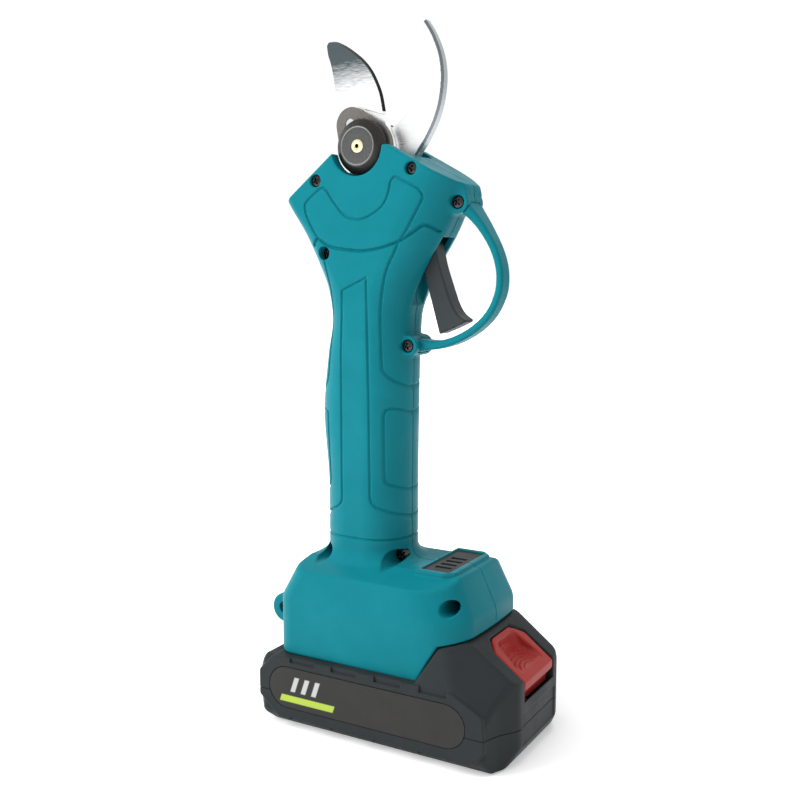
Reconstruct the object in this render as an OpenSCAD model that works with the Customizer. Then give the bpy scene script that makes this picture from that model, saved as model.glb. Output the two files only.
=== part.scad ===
/* [Housing] */
// Wall thickness of the two handle shells
wall = 2.5; // [2.2:0.1:2.8]
// Half the depth of the grip and the head, from the parting plane to a side
grip_half = 17.5; // [17.4:0.1:18]
// Half the width of the foot above the battery
foot_half = 33; // [32:0.5:34]
// Radius of the round notches around the pivot, on both sides of the head
notch_r = 12.4; // [12.2:0.1:13.4]

/* [Blades] */
// Height of the blade pivot above the standing face
pivot_z = 254; // [253.5:0.1:254.5]
// How far the drive axis stands in front of the grip's axis
drive_x = 2; // [1.8:0.1:2.2]
// Thickness of the moving blade
blade_t = 4; // [3.8:0.1:4]
// Thickness of the hooked blade
hook_t = 4.5; // [4:0.1:4.5]
// Radius of the pivot bolt's shank
bolt_r = 4; // [3.8:0.1:4]

/* [Gears] */
// Module of the bevel pair that swings the moving blade
bevel_m = 1.2; // [1.2:0.01:1.22]
// Module of the planetary stage
planet_m = 0.6; // [0.59:0.01:0.6]

/* [Battery] */
// Length of the pack, from its rear face to its front face
pack_l = 124; // [123:0.5:125]
// Width of the pack
pack_w = 75; // [74:0.5:76]
// Height of the pack's side walls
pack_h = 32.5; // [32:0.1:32.6]
// Diameter of each lithium cell
cell_d = 18.4; // [18:0.1:18.6]

/* [Hidden] */
$fn = 48;
eps = 0.02;

// The housing from the foot to the head. Each row is a height, the rear x, the front x and half the
// depth, then the lengths of the rounded rear corners along x and y, and those of the front corners.
housing_rows = [
    [27, -32, 60.8, foot_half, 9, 9, 20, 14],
    [58, -32, 60.8, foot_half, 9, 9, 20, 14],
    [70.5, -25.6, 55.2, foot_half - 1.8, 9, 9, 19, 13],
    [73.2, -24.2, 53.6, foot_half - 7.5, 9.5, 9.5, 17, 12],
    [75, -23.2, 50.5, foot_half - 12.5, 11, 11, 13, 12],
    [76, -22.8, 27, grip_half + 1.3, 13, 14, 12, 14],
    [79, -21.2, 22, grip_half + 0.4, 15, 15.5, 15, 15.5],
    [83, -20.3, 20.2, grip_half, 16, 16.3, 16, 16.3],
    [105, -20.1, 19.8, grip_half, 16, 16.3, 16, 16.3],
    [140, -22.4, 20.2, grip_half, 16, 16.3, 16, 16.3],
    [165, -19.6, 20.6, grip_half, 15, 15.5, 16, 16],
    [182, -16.3, 21.2, grip_half, 13, 14, 16, 15],
    [193, -17.3, 24.3, grip_half, 12, 12.5, 17, 13.5],
    [206, -21.5, 31, grip_half, 9, 10, 19, 12],
    [218, -27, 38.6, grip_half, 7, 8, 21, 10.5],
    [231, -35.2, 45.6, grip_half, 5.5, 6.5, 22, 9.8],
    [262, -54.6, 62, grip_half, 5.5, 6.5, 24, 9.8]
];

foot_floor_z = pack_h + 0.3;
foot_floor_t = 4.7;
foot_floor_top = foot_floor_z + foot_floor_t;
rear_x = -42;
front_x = rear_x + pack_l;
split_z = 16;
tongue_top = foot_floor_top + 3.1;

// Screws that hold the shells together: [x, z, y under the head, recess radius]
shell_screw_spots = [
    [-18.6, 240.4, -14.6, 2.7],
    [28.4, 243.6, -14.4, 2.7],
    [45, 230, -7.2, 2.9],
    [21.5, 170, -7.2, 2.9],
    [-19.4, 209.7, -9.5, 2.9],
    [17.2, 77, -3, 3.4],
    [-15.5, 76.5, -3, 3.4],
    [52, 64.2, -12, 3.4],
    [-45.5, 42.8, -3.5, 2.9]
];

// ---- shape helpers ----
function chord(rows, i, c) = (rows[i + 1][c] - rows[i][c]) / (rows[i + 1][0] - rows[i][0]);
function knot_slope(rows, i, c) =
    (i == 0 || i == len(rows) - 1) ? 0 :
    let (a = chord(rows, i - 1, c), b = chord(rows, i, c))
    a * b <= 0 ? 0 : 2 * a * b / (a + b);
function row_below(rows, z, i = 0) =
    (i >= len(rows) - 2 || z < rows[i + 1][0]) ? i : row_below(rows, z, i + 1);
// Smooth curve through column c of the rows, which never overshoots them
function along(rows, z, c) =
    let (i = row_below(rows, z), h = rows[i + 1][0] - rows[i][0], t = (z - rows[i][0]) / h)
    (2 * t^3 - 3 * t^2 + 1) * rows[i][c] + (t^3 - 2 * t^2 + t) * h * knot_slope(rows, i, c)
    + (3 * t^2 - 2 * t^3) * rows[i + 1][c] + (t^3 - t^2) * h * knot_slope(rows, i + 1, c);
// A rounded section at height z: a quarter ellipse at each corner, of rear [rx, ry] and front [fx, fy]
function section(rear, front, half, rx, ry, fx, fy, z, per_corner) = [
    for (corner = [0:3]) for (i = [0:per_corner - 1])
        let (a = 90 * (corner + i / (per_corner - 1)), ahead = corner == 0 || corner == 3,
             lx = ahead ? fx : rx, ly = ahead ? fy : ry)
        [(ahead ? front - lx : rear + lx) + lx * cos(a), (corner < 2 ? 1 : -1) * (half - ly) + ly * sin(a), z]
];
function housing_section(z, inset, per_corner) =
    let (q = z < 76 ? z + inset : z, v = [for (c = [1:7]) along(housing_rows, q, c)])
    section(v[0] + inset, v[1] - inset, v[2] - inset, v[3] - inset, v[4] - inset, v[5] - inset, v[6] - inset,
            z, per_corner);

// Joins rings of n points into one closed solid
module loft(rings) {
    n = len(rings[0]);
    m = len(rings);
    points = [for (r = rings) for (p = r) p];
    sides = [
        for (i = [0:m - 2]) for (k = [0:n - 1])
            let (a = i * n + k, b = i * n + (k + 1) % n)
            each [[a, a + n, b + n], [a, b + n, b]]
    ];
    caps = [[for (k = [0:n - 1]) k], [for (k = [n - 1:-1:0]) (m - 1) * n + k]];
    polyhedron(points, concat(sides, caps), convexity = 6);
}
// A flat profile in the x-z plane, given thickness from y0 to y1
module slab(y0, y1) translate([0, y1, 0]) rotate([90, 0, 0]) linear_extrude(y1 - y0) children();
module rod_y(x, z, y0, y1, r) translate([x, y1, z]) rotate([90, 0, 0]) cylinder(h = y1 - y0, r = r);
module rod_z(x, y, z0, z1, r) translate([x, y, z0]) cylinder(h = z1 - z0, r = r);
module box(lo, hi) translate(lo) cube(hi - lo);

function catmull(a, b, c, d, t) =
    0.5 * (2 * b + (c - a) * t + (2 * a - 5 * b + 4 * c - d) * t^2 + (3 * b - a - 3 * c + d) * t^3);
// Smooth curve through the points, with steps points between each pair
function smooth(p, steps = 5) = let (n = len(p)) [
    for (i = [0:n - 2]) for (s = [0:steps - 1])
        catmull(p[max(i - 1, 0)], p[i], p[i + 1], p[min(i + 2, n - 1)], s / steps),
    p[n - 1]
];

// A coil of round wire along z
module coil(z0, z1, coil_r, wire_r, turns) {
    steps = turns * 16;
    loft([
        for (i = [0:steps])
            let (a = 360 * turns * i / steps, z = z0 + wire_r + (z1 - z0 - 2 * wire_r) * i / steps)
            [for (k = [0:7]) let (b = -45 * k)
                let (r = coil_r + wire_r * cos(b))
                [r * cos(a), r * sin(a), z + wire_r * sin(b)]]
    ]);
}

// ---- gear helpers, all angles in degrees ----
function inv(a) = tan(a) * 180 / PI - a;
// Half the angle a tooth takes at radius r, on a gear of pitch radius p and z teeth
function tooth_half(z, p, r, play) =
    let (base = p * cos(20), a = acos(min(1, base / max(r, base))))
    90 / z + inv(20) - inv(a) - play / 2 / p * 180 / PI;
module spur(z, m, add, ded, play) {
    p = z * m / 2;
    steps = 5;
    radii = [for (i = [0:steps]) p - ded * m + (add + ded) * m * i / steps];
    polygon([
        for (k = [0:z - 1]) each concat(
            [for (r = radii) let (a = 360 / z * k - tooth_half(z, p, r, play)) r * [cos(a), sin(a)]],
            [for (i = [steps:-1:0])
                let (r = radii[i], a = 360 / z * k + tooth_half(z, p, r, play)) r * [cos(a), sin(a)]])
    ]);
}
// One tooth of a bevel gear, by the back-cone rule: at the plane a distance d from the apex
function bevel_tooth(z, cone, m, d, add, ded, play, centre) =
    let (p = z * m / 2, apex_l = p / sin(cone), back_r = p / cos(cone), zv = z / cos(cone), steps = 4)
    [for (side = [-1, 1]) for (j = [0:steps])
        let (i = side < 0 ? j : steps - j,
             h = -ded * m + (add + ded) * m * i / steps,
             half = tooth_half(zv, back_r, back_r + h, play) * (back_r + h) / (p + h * cos(cone)),
             r = d * tan(cone + atan(h / apex_l)),
             a = centre + side * half)
        r * [cos(a), sin(a)]];

// ---- outlines shared by more than one piece ----
bevel_add = 0.8;
bevel_ded = 1.05;
pinion_teeth = 10;
sector_teeth = 30;
pinion_cone = atan(pinion_teeth / sector_teeth);
sector_r = sector_teeth * bevel_m / 2;
pinion_r = pinion_teeth * bevel_m / 2;
face_ratio = 0.68;
sector_root_cone = 90 - pinion_cone - atan(bevel_ded * bevel_m * cos(pinion_cone) / sector_r);

guard_roots = [[45, 230], [21.5, 170]];
guard_half_w = 4.2;
guard_line = smooth([
    [45, 230], [48.8, 226.4], [53.8, 220.4], [59, 211.9], [61.7, 204.4], [62.3, 197.9], [61.3, 191.7],
    [57.5, 184.2], [51.1, 178], [42.8, 173.3], [34.7, 170.8], [28, 170.3], [21.5, 170]
], 3);
// Half the thickness of the guard at each of its points: it thickens towards its two roots
function guard_half(i) = let (t = i / (len(guard_line) - 1)) 1.6 + 2 * pow(abs(2 * t - 1), 6);
function guard_side(i, side, extra) =
    let (n = len(guard_line) - 1, d = guard_line[min(i + 1, n)] - guard_line[max(i - 1, 0)])
    guard_line[i] + side * [-d[1], d[0]] / norm(d) * (guard_half(i) + extra);
// The guard bow seen from the side, widened by extra all round
module guard_outline(extra) {
    n = len(guard_line) - 1;
    polygon(concat([for (i = [0:n]) guard_side(i, 1, extra)], [for (i = [n:-1:0]) guard_side(i, -1, extra)]));
}

lug_x = -45.5;
lug_z = 42.8;

trigger_x = 29;
trigger_z = 211;
trigger_half = 4.5;
trigger_arm_top = 1.8;

// ---- shells ----
module housing_outer() {
    zs = [27, 58, 60, 62.5, 65, 67.5, 70.5, 72, 73.2, 74.2, 75, 75.5, 76, 77.5, 79, 81, 83, 94, 105, 116, 128,
          140, 152, 165, 174, 182, 188, 193, 200, 206, 212, 218, 225, 231, 246, 262];
    loft([for (z = zs) housing_section(z, 0, 10)]);
}
module housing_inner() {
    zs = [foot_floor_top, 55.5, 61, 65, 68, 70.5, 72.5, 73.5, 75.5, 80.5, 94, 116, 140, 165, 182, 193, 206,
          218, 231, 261.5];
    loft([for (z = zs) housing_section(z, wall, 7)]);
}
// Everything in front of and behind this outline is outside the head's two sloping top faces
module head_top_cut() {
    polygon([[-90, 187.7], [-8, 252.5], [17, 253.2], [90, 213.3], [90, 300], [-90, 300]]);
}
module battery_clearance() {
    polygon([[-60, 10], [-60, foot_floor_z], [40, foot_floor_z], [48.6, 48.6], [62, 51.5], [62, 10]]);
}
module housing_solid() {
    difference() {
        union() {
            difference() {
                housing_outer();
                housing_inner();
            }
            intersection() {
                housing_outer();
                union() {
                    head_top_walls();
                    shell_bosses();
                    slab(-40, 40) foot_front_wall();
                }
            }
            for (s = guard_roots) rod_y(s[0], s[1], -7.6, 7.6, 4.5);
            rod_y(lug_x, lug_z, -7.5, 7.5, 7);
            box([lug_x, -7.5, lug_z - 7], [-30.5, 7.5, lug_z + 7]);
        }
        slab(-50, 50) head_top_cut();
        slab(-50, 50) battery_clearance();
        rod_y(drive_x, pivot_z, -30, -11, notch_r);
        rod_y(drive_x, pivot_z, 11, 30, notch_r);
        rod_y(drive_x, pivot_z, -12.2, 12.2, 21);
        slab(-8.2, 8.2) blade_window();
        slab(-trigger_half - 0.6, trigger_half + 0.6) trigger_window();
        slab(-guard_half_w - 0.2, guard_half_w + 0.2) guard_outline(0.25);
        for (s = guard_roots) rod_y(s[0], s[1], -guard_half_w - 0.2, guard_half_w + 0.2, 4.2);
        box([-29.2, -21.5, 30], [62, 21.5, foot_floor_top + eps]);
        display_hole();
        for (s = shell_screw_spots) {
            rod_y(s[0], s[1], -50, s[2], s[3]);
            rod_y(s[0], s[1], s[2] - eps, 0, 1.6);
            rod_y(s[0], s[1], -eps, 10, 1.25);
        }
        rod_y(trigger_x, trigger_z, -9.5, 9.5, 1.55);
    }
    display_frame();
}
// Closes the foot's front under its overhang
module foot_front_wall() {
    polygon([[46.8, 47], [48.6, 48.6], [60, 51], [60, 54.6], [47, 51.8]]);
}
module blade_window() {
    polygon([[-12, 236], [-16, 248], [-12, 262], [33, 262], [24.5, 249.3], [23, 247.2], [22.8, 238],
             [20, 236]]);
}
module trigger_window() {
    polygon(concat([[22, 216], [31, 219], [40, 214.5], [40, 186]],
                   smooth([[24.6, 185.4], [22.4, 187.2], [21.6, 190.5], [21.5, 197], [21.5, 206]], 3)));
}
// The sloping walls that close the head between its two sides
module head_top_walls() {
    slab(-30, 30) polygon([[-70, 203.5], [-8, 252.5], [-8, 249.3], [-70, 200.3]]);
    slab(-30, 30) polygon([[17, 253.2], [70, 224.3], [70, 221.4], [17, 250.3]]);
}
module shell_bosses() {
    for (s = shell_screw_spots) rod_y(s[0], s[1], max(s[2] - 12, -40), 40, 4.4);
    for (y = [-14, trigger_half + 0.7]) rod_y(trigger_x, trigger_z, y, y + 13.3 - trigger_half, 4);
}
// The raised rim around the charge display on top of the foot
display_x = [33.8, 47.4];
display_half = 17.5;
module display_hole() box([display_x[0], -display_half, 70], [display_x[1], display_half, 80]);
module display_frame() {
    difference() {
        box([display_x[0] - 1.6, -display_half - 3, 71.6], [display_x[1] + 3, display_half + 3, 76.3]);
        display_hole();
    }
}
module left_shell() color("darkcyan") intersection() {
    housing_solid();
    box([-90, -60, 0], [90, 0, 300]);
}
module right_shell() color("darkcyan") intersection() {
    housing_solid();
    box([-90, 0, 0], [90, 60, 300]);
}
module trigger_guard() color("darkcyan") difference() {
    union() {
        slab(-guard_half_w, guard_half_w) guard_outline(0);
        for (s = guard_roots) rod_y(s[0], s[1], -guard_half_w, guard_half_w, 4);
    }
    for (s = guard_roots) rod_y(s[0], s[1], -7, 7, 1.6);
}
module cross_screw(head_r, shank_r, length) {
    difference() {
        union() {
            translate([0, 0, -2]) cylinder(h = 2, r = head_r);
            translate([0, 0, -eps]) cylinder(h = length, r = shank_r);
        }
        for (a = [0, 90]) rotate(a) box([-1.5, -0.35, -3], [1.5, 0.35, -0.9]);
    }
}
module shell_screws() color("dimgray")
    for (s = shell_screw_spots)
        translate([s[0], s[2], s[1]]) rotate([-90, 0, 0]) cross_screw(s[3] - 0.3, 1.2, -s[2] + 8);

// ---- head ----
// The metal frame that holds the pivot, the fixed blade and the drive's bearings
frame_y0 = 1.7;
frame_y1 = 6.6;
tube_r = 12.4;
module head_frame() color("silver") difference() {
    union() {
        slab(frame_y0, frame_y1) difference() {
            union() {
                translate([drive_x, pivot_z]) circle(r = 11.5);
                polygon([[drive_x - 12, 222], [drive_x - 12, 244], [drive_x - 8, 252], [drive_x + 10, 252],
                         [drive_x + 20, 246], [drive_x + 20, 236], [drive_x + 12, 232], [drive_x + 12, 222]]);
            }
            polygon([[drive_x - 8, 225], [drive_x - 8, 242.2], [drive_x + 8, 242.2], [drive_x + 8, 225]]);
        }
        rod_z(drive_x, 0, 209, 231, tube_r);
    }
    rod_z(drive_x, 0, 208, 232, 9.52);
    rod_y(drive_x, pivot_z, 0, 8, bolt_r + 0.03);
    for (p = blade_screw_spots) rod_y(p[0], p[1], 0, 8, 1.6);
}
blade_screw_spots = [[drive_x + 13, 241.5], [drive_x + 18, 244]];
// The hook's outer edge from its tip down into the head, and its inner edge back up to the tip
hook_outer = smooth([[26.9, 305.4], [30.8, 299.4], [34.3, 291], [35.6, 282], [34.6, 272.5], [31.9, 264.1],
                     [27.6, 256.4], [23.4, 250.4], [22, 246]], 4);
hook_inner = smooth([[10.2, 262], [15.6, 265.2], [22.3, 271.3], [26.6, 278.5], [28.2, 288.2], [27.1, 296.6],
                     [25.6, 302.8]], 4);
module fixed_blade() color("lightgray") difference() {
    union() {
        slab(-3, -3 + hook_t) polygon(concat(hook_outer, [[21.6, 238.5], [12, 237.5], [6, 246]], hook_inner));
        rod_y(drive_x, pivot_z, -3, -3 + hook_t, 11.4);
    }
    rod_y(drive_x, pivot_z, -4, 3, bolt_r + 0.03);
    for (p = blade_screw_spots) rod_y(p[0], p[1], -4, 3, 1.6);
}
module fixed_blade_screws() color("dimgray")
    for (p = blade_screw_spots)
        translate([p[0], frame_y1 + 0.05, p[1]]) rotate([90, 0, 0]) cross_screw(2.4, 1.5, 9);

// Cutting edge of the moving blade from its tip to its heel, then its back from the heel to the tip
blade_edge = smooth([[-17.6, 300.3], [-14.3, 299.8], [-9.6, 297.5], [-4.6, 294.1], [-0.4, 290.6],
                     [3.4, 286.1], [6.2, 281], [8.3, 275.7], [9.8, 268.4]], 3);
blade_back = smooth([[-8.6, 258], [-12, 264], [-14, 272], [-15.4, 283], [-16.9, 290], [-18.4, 294.4],
                     [-19, 298.4]], 4);
module moving_blade() color("whitesmoke") difference() {
    union() {
        slab(-3.1 - blade_t, -3.1) polygon(concat(blade_edge, [[12, 258], [2, 246]], blade_back));
        rod_y(drive_x, pivot_z, -3.1 - blade_t, -3.1, 11.4);
    }
    rod_y(drive_x, pivot_z, -8, -2, 6.02);
    rod_y(pin_spot[0], pin_spot[1], -8, -2, 2.22);
}
pin_spot = [-5.6, 264.3];
lobe_spot = [-4.9, 263.8];
// The toothed part sits on a cone whose point is on the pivot axis, in the drive axis
module sector_gear() color("dimgray") difference() {
    union() {
        slab(-9.9, -7.2) hull() {
            translate([drive_x, pivot_z]) circle(r = 12.6);
            translate(lobe_spot) circle(r = 7.5);
        }
        intersection() {
            sector_wedge(-11, -3, 18.9, -7, 67);
            rotate_to_pivot() cylinder(h = 9.9, r1 = 0.01, r2 = 9.9 * tan(sector_root_cone));
        }
        intersection() {
            rotate_to_pivot() sector_teeth_solid();
            difference() {
                sector_wedge(-11, -3, 19.2, -7, 67);
                rod_y(drive_x, pivot_z, -12, 0, 12.4);
            }
        }
        sector_wedge(-9.9, -7.2, 18.9, -7, 67);
    }
    rod_y(drive_x, pivot_z, -12, -7.1, 6.02);
    rod_y(drive_x, pivot_z, -7.2, 0, 12);
    rod_y(pin_spot[0], pin_spot[1], -12, -6, 2.22);
}
// Local z becomes -y, so that a cone's axis lies along the pivot
module rotate_to_pivot() translate([drive_x, 0, pivot_z]) rotate([90, 0, 0]) children();
// A slice of a disc about the pivot, between two angles measured forward from straight down
module sector_wedge(y0, y1, r, from, to) {
    slab(y0, y1) translate([drive_x, pivot_z])
        polygon(concat([[0, 0]],
                       [for (i = [0:12]) let (a = from + (to - from) * i / 12) r * [sin(a), -cos(a)]]));
}
module sector_teeth_solid() {
    far = pinion_r * 1.28;
    near = 0.5;
    translate([0, 0, near]) linear_extrude(height = far - near, scale = far / near)
        for (k = [0:5])
            polygon(bevel_tooth(sector_teeth, 90 - pinion_cone, bevel_m, near, bevel_add, bevel_ded, 0.3,
                                -90 + k * 360 / sector_teeth));
}
module drive_pin() color("gainsboro") rod_y(pin_spot[0], pin_spot[1], -9.6, -3.2, 2.2);
module pivot_bush() color("darkgoldenrod") difference() {
    rod_y(drive_x, pivot_z, -9.9, -3.12, 6);
    rod_y(drive_x, pivot_z, -11, -2, bolt_r + 0.05);
}
module thrust_washer() color("darkgoldenrod") difference() {
    rod_y(drive_x, pivot_z, -10.5, -9.95, 9.5);
    rod_y(drive_x, pivot_z, -12, -8, bolt_r + 0.05);
}
module pivot_bolt() color("dimgray") {
    rod_y(drive_x, pivot_z, -13.6, 6.8, bolt_r);
    difference() {
        rod_y(drive_x, pivot_z, 6.7, 14.4, 9.6);
        translate([drive_x, 15, pivot_z]) rotate([90, 0, 0]) cylinder(h = 4, r = 4.6, $fn = 6);
    }
}
module pivot_nut() color("dimgray") difference() {
    translate([drive_x, 0, pivot_z]) rotate([90, 0, 0]) rotate_extrude()
        polygon([[0, 10.6], [11.6, 10.6], [11.6, 12], [10.6, 13.8], [8.2, 16.4], [0, 16.4]]);
    rod_y(drive_x, pivot_z, -14, -9, bolt_r);
    rod_y(drive_x, pivot_z, -17, -13.9, 3);
}
module grease_nipple() color("gold") difference() {
    rod_y(drive_x, pivot_z, -16.8, -13.95, 2.9);
    rod_y(drive_x, pivot_z, -18, -15.2, 0.7);
}

// ---- drive ----
module bevel_pinion() color("gray") translate([drive_x, 0, 0]) {
    big = sector_r;
    small = sector_r * face_ratio;
    // Cut where the pinion's big end is, with its teeth narrowing towards the pivot
    translate([0, 0, pivot_z - big]) linear_extrude(height = big - small, scale = small / big)
        rotate(-90 + 180 / pinion_teeth) union() {
            circle(r = pinion_r - bevel_ded * bevel_m + 0.1, $fn = 40);
            for (k = [0:pinion_teeth - 1])
                polygon(concat([[0, 0]],
                    bevel_tooth(pinion_teeth, pinion_cone, bevel_m, big, bevel_add, bevel_ded, 0.3,
                                360 / pinion_teeth * k)));
        }
    rod_z(0, 0, 231.6, pivot_z - big + eps, 4.6);
    rod_z(0, 0, 202.7, 231.7, 3);
}
module ball_bearing(z0) translate([drive_x, 0, z0]) {
    for (ring = [[3.02, 4.6], [7.9, 9.5]])
        difference() {
            cylinder(h = 6, r = ring[1]);
            translate([0, 0, -1]) cylinder(h = 8, r = ring[0]);
            translate([0, 0, 3]) rotate_extrude() translate([6.25, 0]) circle(r = 1.95);
        }
    for (k = [0:6]) rotate(360 / 7 * k) translate([6.25, 0, 3]) sphere(r = 1.85);
}
module upper_bearing() color("silver") ball_bearing(224.5);
module lower_bearing() color("silver") ball_bearing(210);

sun_teeth = 12;
planet_teeth = 15;
ring_teeth = sun_teeth + 2 * planet_teeth;
planet_orbit = (sun_teeth + planet_teeth) * planet_m / 2;
module planet_carrier() color("gray") translate([drive_x, 0, 0]) {
    difference() {
        cylinder_between(202.6, 205.6, 11.6);
        cylinder_between(200, 208, 3.0);
    }
    for (k = [0:2]) rotate(120 * k) rod_z(planet_orbit, 0, 191.5, 202.8, 1.5);
}
module cylinder_between(z0, z1, r) translate([0, 0, z0]) cylinder(h = z1 - z0, r = r);
module planet_gear(k) {
    phi = 120 * k;
    turn = phi + 180 + phi * sun_teeth / planet_teeth - 180 / planet_teeth;
    translate([drive_x, 0, 0]) rotate(phi) translate([planet_orbit, 0, 192.5]) rotate(turn - phi)
        linear_extrude(9.5) difference() {
            spur(planet_teeth, planet_m, 0.85, 1.1, 0.12);
            circle(r = 1.55);
        }
}
module planet_gear_1() color("silver") planet_gear(0);
module planet_gear_2() color("silver") planet_gear(1);
module planet_gear_3() color("silver") planet_gear(2);
module ring_gear() color("gray") translate([drive_x, 0, 190]) difference() {
    cylinder(h = 17.5, r = 14.5);
    translate([0, 0, -1]) linear_extrude(30) spur(ring_teeth, planet_m, 1.1, 0.85, -0.12);
}
module sun_gear() color("silver") translate([drive_x, 0, 191.5]) linear_extrude(10.5) difference() {
    spur(sun_teeth, planet_m, 0.85, 1.1, 0.12);
    circle(r = 1.6);
}

// ---- motor ----
motor_r = 14.3;
module motor_can() color("dimgray") difference() {
    rod_z(drive_x, 0, 134, 189.5, motor_r);
    rod_z(drive_x, 0, 133, 186.5, motor_r - 1);
    rod_z(drive_x, 0, 180, 190, 4);
    for (k = [0:3]) translate([drive_x, 0, 0]) rotate(45 + 90 * k) rod_z(9, 0, 180, 190, 1.2);
}
module motor_stator() color("chocolate") translate([drive_x, 0, 142]) linear_extrude(36) difference() {
    circle(r = motor_r - 1.05);
    circle(r = 8);
    for (k = [0:5]) rotate(60 * k + 30) translate([9, -1.6]) square([2.6, 3.2]);
}
module motor_rotor() color("silver") {
    rod_z(drive_x, 0, 140, 182, 7.4);
    rod_z(drive_x, 0, 131, 202.3, 1.6);
}
module motor_end_cap() color("dimgray") difference() {
    rod_z(drive_x, 0, 130, 134, motor_r);
    rod_z(drive_x, 0, 129, 135, 1.65);
}
// A round wire through the points
module wire_run(points, r) {
    for (i = [0:len(points) - 2]) {
        a = points[i];
        d = points[i + 1] - a;
        translate(a) rotate([0, acos(d[2] / norm(d)), atan2(d[1], d[0])])
            cylinder(h = norm(d), r = r, $fn = 16);
        translate(points[i + 1]) sphere(r = r + 0.02, $fn = 16);
    }
}
module motor_wires() color("yellow")
    for (k = [-1:1])
        wire_run([[4 * k + drive_x, 4, 129.8], [4 * k + drive_x, 5, 110], [5 * k + 2, 6, 85],
                  [6 * k + 4, 6, 58]], 1.1);

// ---- trigger ----
module trigger_lever() color("dimgray") difference() {
    union() {
        slab(-trigger_half, trigger_half) polygon(concat(
            smooth([[33, 213], [34.9, 204.6], [37.8, 196.1], [40.7, 188.6], [43.5, 184.1], [47, 181.4]], 4),
            [[47, 180.6], [40.8, 177.7], [35.1, 175.4], [29.7, 194.3], [26.8, 204.4], [25.6, 209],
             [28, 214.6]]));
        rod_y(trigger_x, trigger_z, -trigger_half, trigger_half, 4.2);
        box([17, -3.2, trigger_z - 2], [trigger_x, 3.2, trigger_z + trigger_arm_top]);
    }
    rod_y(trigger_x, trigger_z, -9, 9, 1.55);
}
module trigger_pin() color("silver") rod_y(trigger_x, trigger_z, -9.4, 9.4, 1.5);
plunger_x = 19.5;
module trigger_spring() color("silver") translate([plunger_x, 0, 0]) coil(213.1, 217.9, 2.5, 0.3, 4);
module trigger_switch() color("black") difference() {
    box([15.3, -5, 218], [27.5, 5, 229.5]);
    rod_z(plunger_x, 0, 216, 223.5, 1.56);
}
module switch_plunger() color("white") rod_z(plunger_x, 0, 213.2, 219.4, 1.5);

// ---- electronics in the foot ----
module display_panel() color("black") difference() {
    box([display_x[0] + 0.1, 0.1 - display_half, 73.6], [display_x[1] - 0.1, display_half - 0.1, 75.8]);
    for (k = [0:3]) box([display_x[0] + 3, -11 + 5 * k, 75.2], [display_x[1] - 3, -8.5 + 5 * k, 77]);
}
module display_board() color("green")
    box([display_x[0] + 1.4, -16, 71.8], [display_x[1] - 0.9, 16, 73.4]);
module controller_board() color("green") difference() {
    box([-26, -24, 55], [34, 24, 56.6]);
    for (x = [-22, 30]) for (y = [-20, 20]) rod_z(x, y, 54, 58, 1.6);
}
module power_transistors() color("black") {
    for (k = [0:5]) box([-20 + 8 * k, 12, 56.65], [-14.5 + 8 * k, 20, 59]);
    for (x = [-10, 4]) rod_z(x, -13, 56.65, 64, 4.8);
    box([14, -18, 56.65], [26, -6, 58.6]);
}
module terminal_block() color("black") difference() {
    box([-28, -20, 41], [-9, 20, 49]);
    for (y = [-14, 0, 14]) box([-25.5, y - 0.5, 40], [-13, y + 0.5, 46]);
}
module terminal_blades() color("gold")
    for (y = [-14, 0, 14]) box([-25, y - 0.4, 34.5], [-13.5, y + 0.4, 45.8]);
module power_wires() color("red")
    for (s = [-1, 1])
        wire_run([[-18, 10 * s, 49.05], [-18, 10 * s, 52], [-27.25, 12 * s, 52.4], [-27.25, 12 * s, 57.65],
                  [-22, 10 * s, 57.65]], 1);

// ---- battery pack ----
// The pack's outline from above, from the side and from the front; its block is where all three meet
module pack_plan() {
    w = pack_w / 2;
    polygon([[rear_x, 5.5 - w], [rear_x + 5, -w], [front_x - 9, -w], [front_x - 6.2, 8.2 - w],
             [front_x, 17.8 - w], [front_x, w - 17.8], [front_x - 6.2, w - 8.2], [front_x - 9, w],
             [rear_x + 5, w], [rear_x, w - 5.5]]);
}
module pack_side() {
    polygon([[rear_x, 9], [rear_x, 24], [rear_x + 7.5, pack_h], [40.3, pack_h], [48.9, 48.2], [59, 50.4],
             [61.2, 49.8], [front_x - 1, 35.4], [front_x, 33.6], [front_x, 8], [front_x - 5, 0],
             [rear_x + 9, 0]]);
}
module pack_end() {
    w = pack_w / 2;
    rotate([90, 0, 90]) translate([0, 0, -90]) linear_extrude(240)
        polygon([[-w, 6.5], [-w, pack_h + 1], [-29.8, 50.4], [-20, 53], [20, 53], [29.8, 50.4],
                 [w, pack_h + 1], [w, 6.5], [w - 6, 0], [6 - w, 0]]);
}
// Two planes slope away from the button on both sides, down to the side walls
shoulder_lean = 58.9;
shoulder_turn = 60.4;
shoulder_reach = 69.95;
module pack_shoulders()
    for (s = [-1, 1])
        rotate([0, shoulder_lean, s * shoulder_turn]) translate([-60, -60, shoulder_reach]) cube(120);
module pack_block() difference() {
    intersection() {
        linear_extrude(80) pack_plan();
        slab(-60, 60) pack_side();
        pack_end();
    }
    pack_shoulders();
}
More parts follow.
